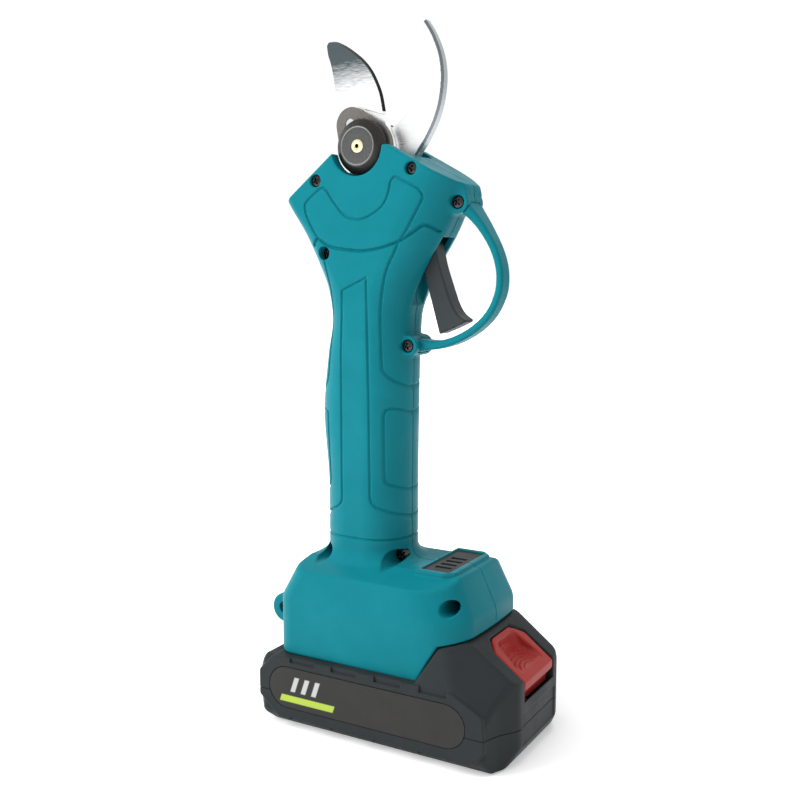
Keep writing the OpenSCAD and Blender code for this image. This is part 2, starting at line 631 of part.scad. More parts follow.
// The hollow inside the pack
module pack_room() {
    w = pack_w / 2 - 2.4;
    intersection() {
        union() {
            box([rear_x + 2.9, 2 - w, 2.4], [rear_x + 8, w - 2, pack_h - 4]);
            box([rear_x + 7.5, -w, 2.4], [57.6, w, pack_h - 2.4]);
        }
        rotate([90, 0, 90]) translate([0, 0, -90]) linear_extrude(240)
            polygon([[-w, 7.2], [-w, pack_h], [w, pack_h], [w, 7.2], [w - 5.2, 2.4], [5.2 - w, 2.4]]);
    }
    box([57, -26, 2.4], [64, 26, pack_h - 6]);
}
base_screw_x = [rear_x + 13, front_x - 15];
base_screw_y = [-24, 24];
module battery_base() color("darkslategray") difference() {
    intersection() {
        pack_block();
        box([-90, -60, 0], [120, 60, split_z]);
    }
    pack_room();
    for (x = base_screw_x) for (y = base_screw_y) {
        rod_z(x, y, -1, 2.05, 2.6);
        rod_z(x, y, 1, 5, 1.3);
    }
    latch_shaft();
    label_recesses();
}
// The release button from above, widened by extra all round; its two rear corners are cut away
button_x = 62.9;
button_half = 15.3;
module button_plan(extra) {
    x = button_x - extra;
    h = button_half + extra;
    linear_extrude(60) polygon([[x, 5.8 - h], [x + 4.6, -h], [90, -h], [90, h], [x + 4.6, h], [x, h - 5.8]]);
}
// The shaft that the release button slides down in
module latch_shaft() intersection() {
    button_plan(0.4);
    slab(-20, 20) polygon([[66.5, 12], [66.5, 22], [62.5, 22], [62.5, 60], [90, 60], [90, 30],
                           [front_x, 27.2], [front_x - 3, 23.6], [front_x - 3, 12]]);
}
module battery_cover() color("darkslategray") difference() {
    union() {
        intersection() {
            pack_block();
            box([-90, -60, split_z], [120, 60, 60]);
        }
        box([-28, -21, pack_h - 1], [46, 21, foot_floor_top + 0.4]);
        box([-28, -25, foot_floor_top + 0.3], [44, 25, tongue_top]);
    }
    pack_room();
    box([-25, -18, pack_h - 3], [40, 18, tongue_top - 3]);
    for (y = [-14, 0, 14]) box([-29, y - 1, 33.5], [-11, y + 1, 42]);
    latch_shaft();
    label_recesses();
}
// A plain plate with round ends on each side of the pack, sunk flush into both halves of its case
label_r = 9.2;
label_z = 18.9;
label_t = 0.42;
module label_outline(extra) {
    hull() for (x = [rear_x + 19.1, front_x - 26.4]) translate([x, label_z]) circle(r = label_r + extra);
}
module label_recesses() {
    for (s = [-1, 1]) translate([0, s * pack_w / 2, 0]) slab(-0.5, 0.5) label_outline(0.1);
}
module battery_labels() color("dimgray")
    for (s = [-1, 1])
        translate([0, s * (pack_w / 2 - 0.06 - label_t / 2), 0])
            slab(-label_t / 2, label_t / 2) label_outline(0);
// Five cells lie across the pack, side by side
cell_start = 12.3;
cell_pitch = 18.7;
module battery_cells() color("steelblue")
    for (k = [0:4])
        translate([rear_x + cell_start + cell_pitch * k, 32.5, 14.2]) rotate([90, 0, 0])
            cylinder(h = 65, d = cell_d);
module cell_straps() color("silver")
    for (s = [-1, 1]) for (k = [0:1]) {
        x = rear_x + cell_start + 2 * cell_pitch * k + (s > 0 ? cell_pitch : 0);
        box([x - 6, s > 0 ? 32.55 : -32.9, 10], [x + 24.7, s > 0 ? 32.9 : -32.55, 18]);
    }
module protection_board() color("green") box([-23, -17, 28.3], [36, 17, 29.8]);
// Each terminal is a pair of spring leaves, one on each side of the blade that slides between them
module battery_terminals() color("gold")
    for (y = [-14, 0, 14]) for (leaf = [-1.45, 1.05]) box([-24, y + leaf, 31.5], [-15, y + leaf + 0.4, 36.8]);
module battery_screws() color("dimgray")
    for (x = base_screw_x) for (y = base_screw_y) translate([x, y, 2]) cross_screw(2.4, 1.2, 1.5);
module release_button() color("crimson") difference() {
    intersection() {
        button_plan(0);
        slab(-20, 20) polygon([[button_x, 33], [button_x, 48], [65, 46.8], [front_x - 0.6, 34.4],
                               [front_x - 0.6, 31], [front_x - 3.4, 27.6], [front_x - 3.4, 24.5],
                               [76, 24.5], [76, 33]]);
    }
    thumb_scoop();
}
module thumb_scoop() slab(-11.5, 11.5) polygon([[65, 60], [65, 43], [67, 39], [71, 37.2], [78.4, 36.7],
                                                [90, 46], [90, 60]]);
module latch_spring() color("silver") translate([72, 0, 0]) coil(12.2, 32.8, 3.4, 0.4, 5);

left_shell();
right_shell();
trigger_guard();
shell_screws();
head_frame();
fixed_blade();
fixed_blade_screws();
moving_blade();
sector_gear();
drive_pin();
pivot_bush();
pivot_bolt();
pivot_nut();
grease_nipple();
thrust_washer();
bevel_pinion();
upper_bearing();
lower_bearing();
planet_carrier();
planet_gear_1();
planet_gear_2();
planet_gear_3();
ring_gear();
sun_gear();
motor_can();
motor_stator();
motor_rotor();
motor_end_cap();
motor_wires();
trigger_lever();
trigger_pin();
trigger_spring();
trigger_switch();
switch_plunger();
display_panel();
display_board();
controller_board();
power_transistors();
terminal_block();
terminal_blades();
power_wires();
battery_base();
battery_cover();
battery_cells();
cell_straps();
protection_board();
battery_terminals();
battery_labels();
battery_screws();
release_button();
latch_spring();
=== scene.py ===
"""Looks of the battery electric pruner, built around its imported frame.

Curved mouldings are described as distance fields, in millimetres, negative inside the material. Each field is
turned into a mesh on a fine lattice. Round steel parts are turned from a profile instead.
"""

import math
import bmesh
import bpy
import numpy as np
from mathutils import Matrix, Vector


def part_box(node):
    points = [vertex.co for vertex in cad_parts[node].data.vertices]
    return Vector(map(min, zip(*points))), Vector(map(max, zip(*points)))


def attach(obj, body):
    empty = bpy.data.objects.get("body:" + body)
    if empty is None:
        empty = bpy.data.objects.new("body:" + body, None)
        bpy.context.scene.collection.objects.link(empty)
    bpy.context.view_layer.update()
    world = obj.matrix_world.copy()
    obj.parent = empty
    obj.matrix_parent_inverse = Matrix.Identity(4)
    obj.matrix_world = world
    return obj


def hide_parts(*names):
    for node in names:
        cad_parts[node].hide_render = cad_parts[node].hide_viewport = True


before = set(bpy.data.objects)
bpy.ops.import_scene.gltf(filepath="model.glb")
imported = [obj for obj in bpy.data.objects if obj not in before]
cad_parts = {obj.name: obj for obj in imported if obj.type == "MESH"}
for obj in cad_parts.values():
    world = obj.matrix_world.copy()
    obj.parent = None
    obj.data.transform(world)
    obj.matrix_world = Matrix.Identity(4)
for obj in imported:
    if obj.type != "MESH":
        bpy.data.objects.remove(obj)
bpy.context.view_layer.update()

MM = 0.001
FAR_AWAY = 1e6
BLOCK = 8
FINE = 0.5
SMALL = 0.3
TINY = 0.13
BLADE_STEP = 0.25


def corner_box(node):
    """Lowest and highest corner of a CAD node, in mm."""
    low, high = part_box(node)
    return np.array(low) * 1000, np.array(high) * 1000


def middle(node):
    """Centre of a CAD node, in mm."""
    low, high = corner_box(node)
    return (low + high) / 2


# ---------------------------------------------------------------- distance fields

def both(a, b, r=0.0):
    """Inside a and b, the edge between them rounded to radius r."""
    if r == 0:
        return np.maximum(a, b)
    corner = np.hypot(np.maximum(a + r, 0), np.maximum(b + r, 0))
    return np.minimum(np.maximum(a, b), -r) + corner


def either(a, b, r=0.0):
    """Inside a or b, the corner between them filled to radius r."""
    return -both(-a, -b, r)


def cut(a, b, r=0.0):
    """Inside a and outside b."""
    return both(a, -b, r)


def span(v, low, high):
    return np.maximum(low - v, v - high)


def disc(x, z, cx, cz, r):
    return np.hypot(x - cx, z - cz) - r


def brick(p, low, high, r=0.0):
    """A box with its edges rounded to radius r."""
    middle_of = [(a + b) / 2 for a, b in zip(low, high)]
    half = [(b - a) / 2 - r for a, b in zip(low, high)]
    q = [np.abs(v - m) - h for v, m, h in zip(p, middle_of, half)]
    outside = np.sqrt(sum(np.maximum(v, 0) ** 2 for v in q))
    return outside + np.minimum(np.maximum(np.maximum(q[0], q[1]), q[2]), 0) - r


def segments(points, closed):
    ends = points[1:] + (points[:1] if closed else [])
    return [(a, b) for a, b in zip(points, ends) if math.dist(a, b) > 1e-6]


def line(u, v, points, closed=False):
    """Distance to an open line, or to a closed one."""
    near = np.full(np.shape(u), FAR_AWAY ** 2, np.float32)
    for (au, av), (bu, bv) in segments(points, closed):
        eu, ev = bu - au, bv - av
        wu, wv = u - au, v - av
        t = np.clip((wu * eu + wv * ev) / (eu * eu + ev * ev), 0, 1)
        near = np.minimum(near, (wu - eu * t) ** 2 + (wv - ev * t) ** 2)
    return np.sqrt(near)


def outline(u, v, points):
    """Distance to a closed outline in the plane of u and v, negative inside it."""
    inside = np.zeros(np.shape(u), bool)
    for (au, av), (bu, bv) in segments(points, True):
        if av != bv:
            crosses = (av > v) != (bv > v)
            inside ^= crosses & (u < (bu - au) * (v - av) / (bv - av) + au)
    return np.where(inside, -1, 1) * line(u, v, points, True)


def curve(points, steps):
    """A smooth line through the points."""
    n = len(points)
    p = np.array(points, float)
    made = []
    for i in range(n - 1):
        a, b, c, d = p[max(i - 1, 0)], p[i], p[i + 1], p[min(i + 2, n - 1)]
        for s in range(steps):
            t = s / steps
            even = 2 * b + (2 * a - 5 * b + 4 * c - d) * t ** 2
            odd = (c - a) * t + (3 * b - a - 3 * c + d) * t ** 3
            made.append(tuple(0.5 * (even + odd)))
    return made + [tuple(p[-1])]


def rounded(points, r, steps=4):
    """A closed outline with each corner rounded to radius r."""
    n = len(points)
    made = []
    for i in range(n):
        p = np.array(points[i], float)
        back = np.array(points[i - 1], float) - p
        ahead = np.array(points[(i + 1) % n], float) - p
        reach = min(r, 0.49 * np.linalg.norm(back), 0.49 * np.linalg.norm(ahead))
        a = p + back / np.linalg.norm(back) * reach
        b = p + ahead / np.linalg.norm(ahead) * reach
        for s in range(steps + 1):
            t = s / steps
            made.append(tuple((1 - t) ** 2 * a + 2 * t * (1 - t) * p + t ** 2 * b))
    return made


class Sheet:
    """A function of two coordinates, worked out once on a lattice and read back by interpolation."""

    def __init__(self, function, low, high, step=0.2):
        self.low = low
        self.step = step
        self.size = [int((b - a) / step) + 2 for a, b in zip(low, high)]
        u, v = (np.float32(a) + np.float32(step) * np.arange(n, dtype=np.float32)
                for a, n in zip(low, self.size))
        self.values = function(*np.meshgrid(u, v, indexing="ij")).astype(np.float32)

    def __call__(self, u, v):
        s = np.clip((u - self.low[0]) / self.step, 0, self.size[0] - 1.001)
        t = np.clip((v - self.low[1]) / self.step, 0, self.size[1] - 1.001)
        i, j = s.astype(np.int32), t.astype(np.int32)
        s, t = s - i, t - j
        f = self.values
        low_row = f[i, j] * (1 - s) + f[i + 1, j] * s
        return low_row * (1 - t) + (f[i, j + 1] * (1 - s) + f[i + 1, j + 1] * s) * t


def outline_sheet(points, low, high, step=0.2):
    return Sheet(lambda u, v: outline(u, v, points), low, high, step)


def line_sheet(points, low, high, step=0.2):
    return Sheet(lambda u, v: line(u, v, points), low, high, step)


# ---------------------------------------------------------------- from field to mesh

CORNERS = [(a, b, c) for a in (0, 1) for b in (0, 1) for c in (0, 1)]
EDGES = [(i, j) for i in range(8) for j in range(i + 1, 8)
         if sum(abs(a - b) for a, b in zip(CORNERS[i], CORNERS[j])) == 1]
TAPS = np.array([(1, -1, -1), (-1, -1, 1), (-1, 1, -1), (1, 1, 1)], np.float32)


def in_chunks(field, points, chunk=400000):
    made = np.empty(len(points), np.float32)
    for start in range(0, len(points), chunk):
        part = points[start:start + chunk]
        made[start:start + chunk] = field(part[:, 0], part[:, 1], part[:, 2])
    return made


def slope(field, points, h=0.06):
    """The field and its gradient at the points."""
    taps = [in_chunks(field, points + h * tap) for tap in TAPS]
    gradient = sum(f[:, None] * tap for f, tap in zip(taps, TAPS)) / (4 * h)
    return sum(taps) / 4, gradient


def lattice_values(field, low, step, blocks):
    """The field on the lattice near its surface, and only its sign elsewhere."""
    reach = BLOCK * step
    centres = [low[a] + (np.arange(blocks[a], dtype=np.float32) + 0.5) * reach for a in range(3)]
    grid = np.stack(np.meshgrid(*centres, indexing="ij"), -1).reshape(-1, 3)
    rough = in_chunks(field, grid).reshape(blocks)
    near = np.abs(rough) < 1.25 * reach
    values = np.sign(rough)
    for axis in range(3):
        near = near.repeat(BLOCK, axis)
        values = values.repeat(BLOCK, axis)
    values = np.pad(values, ((0, 1),) * 3, "edge").astype(np.float32) * 1000
    wanted = np.zeros(values.shape, bool)
    size = near.shape
    for a, b, c in CORNERS:
        wanted[a:a + size[0], b:b + size[1], c:c + size[2]] |= near
    spots = np.flatnonzero(wanted)
    points = np.stack(np.unravel_index(spots, values.shape), -1).astype(np.float32) * step + low
    values.flat[spots] = in_chunks(field, points)
    return values


def net(values, low, step):
    """Points and quads of the zero surface of a lattice of values."""
    inside = values < 0
    cells = tuple(n - 1 for n in values.shape)
    count = np.zeros(cells, np.uint8)
    for a, b, c in CORNERS:
        count += inside[a:a + cells[0], b:b + cells[1], c:c + cells[2]]
    spots = np.flatnonzero((count > 0) & (count < 8))
    at = np.stack(np.unravel_index(spots, cells), -1)
    corner = [values[tuple((at + offset).T)] for offset in CORNERS]
    total = np.zeros((len(at), 3), np.float32)
    crossings = np.zeros(len(at), np.float32)
    for i, j in EDGES:
        crossed = (corner[i] < 0) != (corner[j] < 0)
        t = np.where(crossed, corner[i] / np.where(crossed, corner[i] - corner[j], 1), 0)
        a, b = np.array(CORNERS[i], np.float32), np.array(CORNERS[j], np.float32)
        total += np.where(crossed[:, None], a + t[:, None] * (b - a), 0)
        crossings += crossed
    points = (at + total / crossings[:, None]).astype(np.float32) * step + low
    number = np.full(cells, -1, np.int32)
    number.flat[spots] = np.arange(len(spots))
    quads = []
    for axis in range(3):
        u, v = (axis + 1) % 3, (axis + 2) % 3
        here = [slice(1, -1)] * 3
        ahead = [slice(1, -1)] * 3
        here[axis], ahead[axis] = slice(0, -1), slice(1, None)
        first, second = inside[tuple(here)], inside[tuple(ahead)]
        spot = np.argwhere(first != second)
        outward = first[tuple(spot.T)]
        spot[:, u] += 1
        spot[:, v] += 1
        ring = []
        for du, dv in ((-1, -1), (0, -1), (0, 0), (-1, 0)):
            cell = spot.copy()
            cell[:, u] += du
            cell[:, v] += dv
            ring.append(number[tuple(cell.T)])
        ring = np.stack(ring, -1)
        quads.append(np.where(outward[:, None], ring, ring[:, ::-1]))
    return points, np.concatenate(quads)


def new_piece(name, points, faces):
    """A mesh object from points in mm."""
    mesh = bpy.data.meshes.new(name)
    mesh.from_pydata((np.asarray(points, float) * MM).tolist(), [], [list(map(int, f)) for f in faces])
    mesh.update()
    piece = bpy.data.objects.new(name, mesh)
    bpy.context.scene.collection.objects.link(piece)
    return piece


def quad_piece(name, points, quads):
    """A mesh object from many quads, filled in bulk."""
    mesh = bpy.data.meshes.new(name)
    mesh.vertices.add(len(points))
    mesh.vertices.foreach_set("co", (points * MM).astype(np.float32).ravel())
    mesh.loops.add(quads.size)
    mesh.loops.foreach_set("vertex_index", quads.astype(np.int32).ravel())
    mesh.polygons.add(len(quads))
    mesh.polygons.foreach_set("loop_start", np.arange(0, quads.size, 4, dtype=np.int32))
    mesh.update(calc_edges=True)
    piece = bpy.data.objects.new(name, mesh)
    bpy.context.scene.collection.objects.link(piece)
    return piece


def apply_modifiers(piece):
    bpy.context.view_layer.update()
    graph = bpy.context.evaluated_depsgraph_get()
    made = bpy.data.meshes.new_from_object(piece.evaluated_get(graph))
    piece.modifiers.clear()
    old = piece.data
    piece.data = made
    bpy.data.meshes.remove(old)


def thin_out(piece, triangles):
    """Fewer triangles where the surface is plain."""
    have = sum(len(p.vertices) - 2 for p in piece.data.polygons)
    if have <= triangles:
        return
    modifier = piece.modifiers.new("thin", "DECIMATE")
    modifier.ratio = triangles / have
    apply_modifiers(piece)


def vertices_mm(mesh):
    flat = np.empty(len(mesh.vertices) * 3, np.float32)
    mesh.vertices.foreach_get("co", flat)
    return flat.reshape(-1, 3) / np.float32(MM)


def moulded_arrays(field, low, high, step):
    """Points, in mm, and quads of the field's surface."""
    low = np.array(low, np.float32) - step * 1.37
    high = np.array(high, np.float32) + step
    blocks = np.ceil((high - low) / (BLOCK * step)).astype(int)
    points, quads = net(lattice_values(field, low, step, blocks), low, step)
    for _ in range(2):
        value, gradient = slope(field, points)
        shift = -value[:, None] * gradient / np.maximum((gradient ** 2).sum(1), 0.1)[:, None]
        length = np.linalg.norm(shift, axis=1)
        points = points + shift * np.minimum(1, 0.4 * step / np.maximum(length, 1e-6))[:, None]
    return points, quads


def moulded(name, field, low, high, step, triangles):
    """A mesh of the field's surface, with its shading taken from the field itself."""
    piece = quad_piece(name, *moulded_arrays(field, low, high, step))
    thin_out(piece, triangles)
    _, gradient = slope(field, vertices_mm(piece.data))
    normals = gradient / np.maximum(np.linalg.norm(gradient, axis=1), 1e-6)[:, None]
    piece.data.shade_smooth()
    piece.data.normals_split_custom_set_from_vertices(normals.tolist())
    return piece


# ---------------------------------------------------------------- the housing

WALL = 2.5
PIVOT = middle("pivot_nut")[[0, 2]]
NOTCH_R = 12.4
PACK_TOP = corner_box("left_shell")[0][2]
FLOOR_TOP = PACK_TOP + 4.7

# Height, rear x, front x and half depth, then the length of the rounded corners: the rear ones along x and y,
# the front ones along x and y
GRIP_ROWS = np.array([
    [60, -19.8, 19.8, 17.5, 16, 16.3, 16, 16.3],
    [83, -20.1, 19.8, 17.5, 16, 16.3, 16, 16.3],
    [105, -20.1, 19.8, 17.5, 16, 16.3, 16, 16.3],
    [140, -22.4, 20.2, 17.5, 16, 16.3, 16, 16.3],
    [165, -19.6, 20.6, 17.5, 15, 15.5, 16, 16],
    [182, -16.3, 21.2, 17.5, 13, 14, 16, 15],
    [193, -17.3, 24.3, 17.5, 12, 12.5, 17, 13.5],
    [206, -21.5, 31, 17.5, 9, 10, 19, 13],
    [218, -27, 38.6, 17.5, 7, 8, 21, 13.5],
    [231, -35.2, 45.2, 17.5, 5.5, 6.5, 22, 14.5],
    [262, -54.6, 61.5, 17.5, 5.5, 6.5, 24, 15.5],
])


def row_curves(rows, heights):
    """Each column of the rows as a smooth curve of height that never overshoots them."""
    z = rows[:, 0]
    gap = np.diff(z)
    columns = []
    for c in range(1, rows.shape[1]):
        v = rows[:, c]
        chord = np.diff(v) / gap
        tangent = np.zeros(len(z))
        same = chord[:-1] * chord[1:] > 0
        total = np.where(same, chord[:-1] + chord[1:], 1)
        tangent[1:-1] = np.where(same, 2 * chord[:-1] * chord[1:] / total, 0)
        i = np.clip(np.searchsorted(z, heights) - 1, 0, len(gap) - 1)
        t = (heights - z[i]) / gap[i]
        columns.append((2 * t ** 3 - 3 * t ** 2 + 1) * v[i] + (t ** 3 - 2 * t ** 2 + t) * gap[i] * tangent[i]
                       + (3 * t ** 2 - 2 * t ** 3) * v[i + 1] + (t ** 3 - t ** 2) * gap[i] * tangent[i + 1])
    return columns


GRIP_Z = np.arange(60, 262.01, 0.25)
GRIP = [column.astype(np.float32) for column in row_curves(GRIP_ROWS, GRIP_Z)]


def corner_distance(dx, dy, lx, ly):
    """Distance to a corner rounded as a quarter ellipse; dx and dy are measured from the two flat sides."""
    u, v = np.maximum(dx + lx, 0) / lx, np.maximum(dy + ly, 0) / ly
    k = np.sqrt(u * u + v * v)
    steepness = np.sqrt((u / lx) ** 2 + (v / ly) ** 2)
    round_part = (k - 1) * k / np.maximum(steepness, 1e-6)
    return np.where((u > 0) & (v > 0), round_part, np.maximum(dx, dy))


def grip_section(x, y, z):
    rear, front, half, rx, ry, fx, fy = (np.interp(z, GRIP_Z, column).astype(np.float32) for column in GRIP)
    dy = np.abs(y) - half
    ahead = corner_distance(x - front, dy, fx, fy)
    behind = corner_distance(rear - x, dy, rx, ry)
    return np.where(x > (rear + front) / 2, ahead, behind)


def grip(x, y, z):
    """The grip and head, from inside the foot up."""
    here = grip_section(x, y, z)
    lean = (grip_section(x, y, z + 0.5) - grip_section(x, y, z - 0.5))
    return np.maximum(here / np.sqrt(1 + np.minimum(lean * lean, 4)), 62 - z)


FOOT_REAR, FOOT_MIDDLE, FOOT_FRONT = -32, 14, 61.2
FOOT_HALF = 33
CREASE_LOW, CREASE_HIGH = 56.3, 60.3
FOOT_TOP = 75.2


def foot(x, y, z):
    """The foot: above a crease its sides draw in, and a gentle top slopes from there to the grip."""
    rise = np.clip(z - CREASE_LOW, 0, 4) ** 2 / 8 + np.clip(z - CREASE_HIGH, 0, 20)
    dy = np.abs(y) - (FOOT_HALF - 0.13 * rise)
    ahead = corner_distance(x - (FOOT_FRONT - 0.0025 * y * y - 0.46 * rise), dy, 20, 14)
    behind = corner_distance(FOOT_REAR + 0.52 * rise - x, dy, 9, 9)
    wall = np.where(x > FOOT_MIDDLE, ahead, behind) * 0.93
    top = (z - FOOT_TOP + 0.32 * np.maximum(np.abs(y) - 17, 0)) * 0.95
    return np.maximum(both(wall, top, 1.2), 20 - z)


HEAD_TOP = [(-90, 188.6), (-8, 253.4), (17, 253.9), (90, 214), (90, 330), (-90, 330)]
PACK_SIDE_CUT = [(-80, -10), (-80, PACK_TOP), (40, PACK_TOP), (48.6, 48.6), (62, 51.5), (90, 57.5), (90, -10)]

GUARD_ROOTS = [(45, 230), (21.5, 170)]
LUG = (-45.5, 42.8)


def deep(y, half):
    return np.abs(y) - half


def housing_outer(x, y, z):
    """The outside of the two shells together, before any opening is cut."""
    body = either(grip(x, y, z), foot(x, y, z), 5.5)
    body = both(body, -outline(x, z, HEAD_TOP), 1.0)
    nose = np.minimum(disc(x, z, *GUARD_ROOTS[0], 4.6), line(x, z, [GUARD_ROOTS[0], (45.4, 233.2)]) - 3.6)
    body = either(body, both(nose, deep(y, 7.6), 0.7), 2.6)
    body = either(body, both(disc(x, z, *GUARD_ROOTS[1], 4.6), deep(y, 7.6), 0.7), 1.6)
    ear = both(disc(x, z, *LUG, 7), deep(y, 7.5), 0.8)
    web = brick((x, y, z), (LUG[0], -7.5, LUG[1] - 7), (-28, 7.5, LUG[1] + 6), 0.8)
    body = either(body, either(ear, web), 1.5)
    body = both(body, -outline(x, z, PACK_SIDE_CUT), 0.8)
    return body


# ---- grooves in the housing's sides, seen along y ----

HEAD_PANEL = [(-16.9, 215.7), (-19.3, 218.6), (-21.7, 222.7), (-23.6, 226.7), (-24.1, 229.6), (-23.2, 231.6),
              (-18, 235.6), (-15.2, 237.1), (-13, 236.3), (-9.8, 231.9), (-5.1, 226.5), (-1.8, 224.4),
              (2.2, 223.5), (6.9, 224), (12.9, 227.1), (16.2, 230.3), (18.1, 234.6), (18.8, 237.8),
              (20, 239.6), (21.9, 240.2), (29.4, 236.7), (32.3, 234.6), (33.2, 232.5), (32.4, 229.8),
              (25.9, 218.7), (22.8, 214.3)]
SPLIT_LINE = [(-20, 213), (-18.3, 215.2), (-16.9, 215.7), (-13.4, 213.4), (-8, 211.5), (2.8, 210.3),
              (8.1, 210.5), (15.3, 211.7), (22.5, 214.1), (27.4, 217), (33, 220.7), (37, 218.5)]


def side_groove_lines():
    """The fine grooves that outline the grip's panels."""
    lines = [curve(HEAD_PANEL, 3)]
    lines.append(curve([(-14.4, 206), (-13.6, 202), (-12.2, 189), (-12.9, 176), (-14.4, 157)], 4)
                 + [(-15.4, 153.6), (-18, 150.6), (-20.5, 147.6)])
    lines.append([(-6, 103.6), (-6, 172), (-5.2, 193.4), (6.9, 199), (7.7, 147), (8, 104.2), (8.8, 101.4),
                  (10.6, 99.5), (14.2, 97.9), (18.4, 95.6), (19.9, 94.1), (20.6, 92.8)])
    lines.append(curve([(-6, 103.6), (-6.6, 100.2), (-9, 98)], 3) + [(-13.7, 95.8), (-20.5, 91.4)])
    lines.append(curve([(22.5, 213.8), (20.2, 209.5), (15.8, 200.2), (13, 185.5), (12.8, 168.5),
                        (13.1, 160)], 4)
                 + [(14.3, 157.7), (16.5, 155.4), (19.7, 152.4), (20.8, 150.8)])
    lines.append([(20.8, 138.8), (20, 140.7), (18.4, 142.6), (16, 143.2), (14.3, 142.5), (13.4, 140.6),
                  (13.5, 113.8), (13.8, 111), (14.9, 109.6), (17.5, 108.3), (19.7, 106.4), (20.8, 104.7)])
    lines.append([(-21.5, 137.4), (-18.6, 140.6), (-16.4, 141.2)]
                 + curve([(-16.4, 141.2), (-14.8, 140.4), (-14.4, 138.6)], 3)
                 + [(-14, 110), (-14.6, 107.4), (-16.4, 106), (-20.6, 102.6)])
    lines.append([(-40, 85.2), (40, 84.6)])
    return lines


def groove_depth(distance, half_width, depth):
    t = np.clip(1 - distance / half_width, 0, 1)
    return depth * t * t * (3 - 2 * t)


def side_relief(x, z):
    """How far the surface is let in, seen along y."""
    fine = np.full(x.shape, FAR_AWAY, np.float32)
    for points in side_groove_lines():
        fine = np.minimum(fine, line(x, z, points))
    split = line(x, z, curve(SPLIT_LINE, 4))
    return np.maximum(groove_depth(fine, 0.8, 0.8), groove_depth(split, 1.0, 1.2))


RELIEF = Sheet(side_relief, (-60, 80), (64, 262), 0.25)

SCREWS = [(-18.6, 240.4, -14.9, 2.7), (28.4, 243.6, -14.6, 2.7), (45, 230, -5.9, 2.8), (21.5, 170, -5.9, 2.8),
          (-14.6, 209.5, -12, 2.9), (17.2, 77, -3, 3.4), (-15.5, 76.5, -3, 3.4), (52, 64.2, -12, 3.4),
          (-45.5, 42.8, -3.5, 2.9)]

TRIGGER_HALF = 4.5
TRIGGER_SLOT = [(22, 216), (31, 219), (40, 214.5), (40, 186)] + curve(
    [(24.6, 185.4), (22.4, 187.2), (21.6, 190.5), (21.5, 197), (21.5, 206)], 3)
SLOT_LINING = [(18, 206), (40, 206), (40, 180), (18, 180)]
BLADE_WINDOW = [(-12, 236), (-16, 248), (-12, 262), (33, 262), (24.5, 249.3), (23, 247.2), (22.8, 238),
                (20, 236)]
DISPLAY = [(32.2, -20.5, 70), (50.4, 20.5, 76.5)]
DISPLAY_HOLE = [(33.85, -17.45, 69), (47.35, 17.45, 80)]


def housing(x, y, z):
    """Both shells, hollow, with their openings."""
    outer = housing_outer(x, y, z)
    relief = RELIEF(x, z) * np.clip((z - 81) / 2, 0, 1)
    skin = outer + relief
    hollow = np.maximum(outer + WALL, FLOOR_TOP - z)
    bosses = np.full(x.shape, FAR_AWAY, np.float32)
    for cx, cz, seat, recess in SCREWS:
        bosses = np.minimum(bosses, disc(x, z, cx, cz, np.where(y < seat + 1.5, recess + 1.6, 1.95)))
    bosses = np.minimum(bosses, disc(x, z, *PIVOT, 15.5))
    lining = np.maximum(outline(x, z, SLOT_LINING), deep(y, TRIGGER_HALF + 2.4))
    hollow = np.maximum(np.maximum(hollow, -bosses), -lining)
    solid = cut(skin, hollow)
    frame_rim = both(brick((x, y, z), *DISPLAY, 1.0), np.abs(y) + x - 67.6, 2.5)
    solid = either(solid, np.maximum(frame_rim, 71.6 - z), 0.5)
    solid = cut(solid, brick((x, y, z), *DISPLAY_HOLE, 0.8), 0.3)
    around = disc(x, z, *PIVOT, NOTCH_R)
    solid = cut(solid, np.maximum(around, 11 - np.abs(y)), 0.6)
    solid = cut(solid, np.maximum(disc(x, z, *PIVOT, 21), deep(y, 12.2)))
    solid = cut(solid, np.maximum(outline(x, z, BLADE_WINDOW), deep(y, 8.2)))
    solid = cut(solid, np.maximum(outline(x, z, TRIGGER_SLOT), deep(y, TRIGGER_HALF + 0.6)), 0.4)
    solid = cut(solid, brick((x, y, z), (-29.2, -21.5, 20), (64, 21.5, FLOOR_TOP)))
    solid = cut(solid, np.maximum(GUARD_SHEET(x, z) - 0.25, deep(y, GUARD_HALF + 0.2)))
    for cx, cz, seat, recess in SCREWS:
        solid = cut(solid, np.maximum(disc(x, z, cx, cz, recess), y - seat), 0.45)
    return solid


GUARD_HALF = 4.2
GUARD_LINE = curve([(45, 230), (48.8, 226.4), (53.8, 220.4), (59, 211.9), (61.7, 204.4), (62.3, 197.9),
                    (61.3, 191.7), (57.5, 184.2), (51.1, 178), (42.8, 173.3), (34.7, 170.8), (28, 170.3),
                    (21.5, 170)], 3)


def guard_bar(x, z):
    """The guard's side outline: a bar that thickens towards its two roots."""
    n = len(GUARD_LINE) - 1
    near = np.full(x.shape, FAR_AWAY, np.float32)
    for i, ((ax, az), (bx, bz)) in enumerate(zip(GUARD_LINE, GUARD_LINE[1:])):
        ex, ez = bx - ax, bz - az
        t = np.clip(((x - ax) * ex + (z - az) * ez) / (ex * ex + ez * ez), 0, 1)
        share = np.abs(2 * (i + t) / n - 1)
        thickness = 1.6 + 2 * share ** 6
        near = np.minimum(near, np.hypot(x - ax - ex * t, z - az - ez * t) - thickness)
    return near


GUARD_SHEET = Sheet(guard_bar, (14, 160), (70, 242), 0.25)


def shell_half(side):
    """The left shell is side -1, the right one side 1; a fine line shows where they meet."""
    def field(x, y, z):
        meeting = 0.06 - side * y
        return both(housing(x, y, z), meeting, 0.35)
    return field


# ---------------------------------------------------------------- guard and trigger

GUARD_SPREAD = 2.6
SPREAD_LENGTH = 20


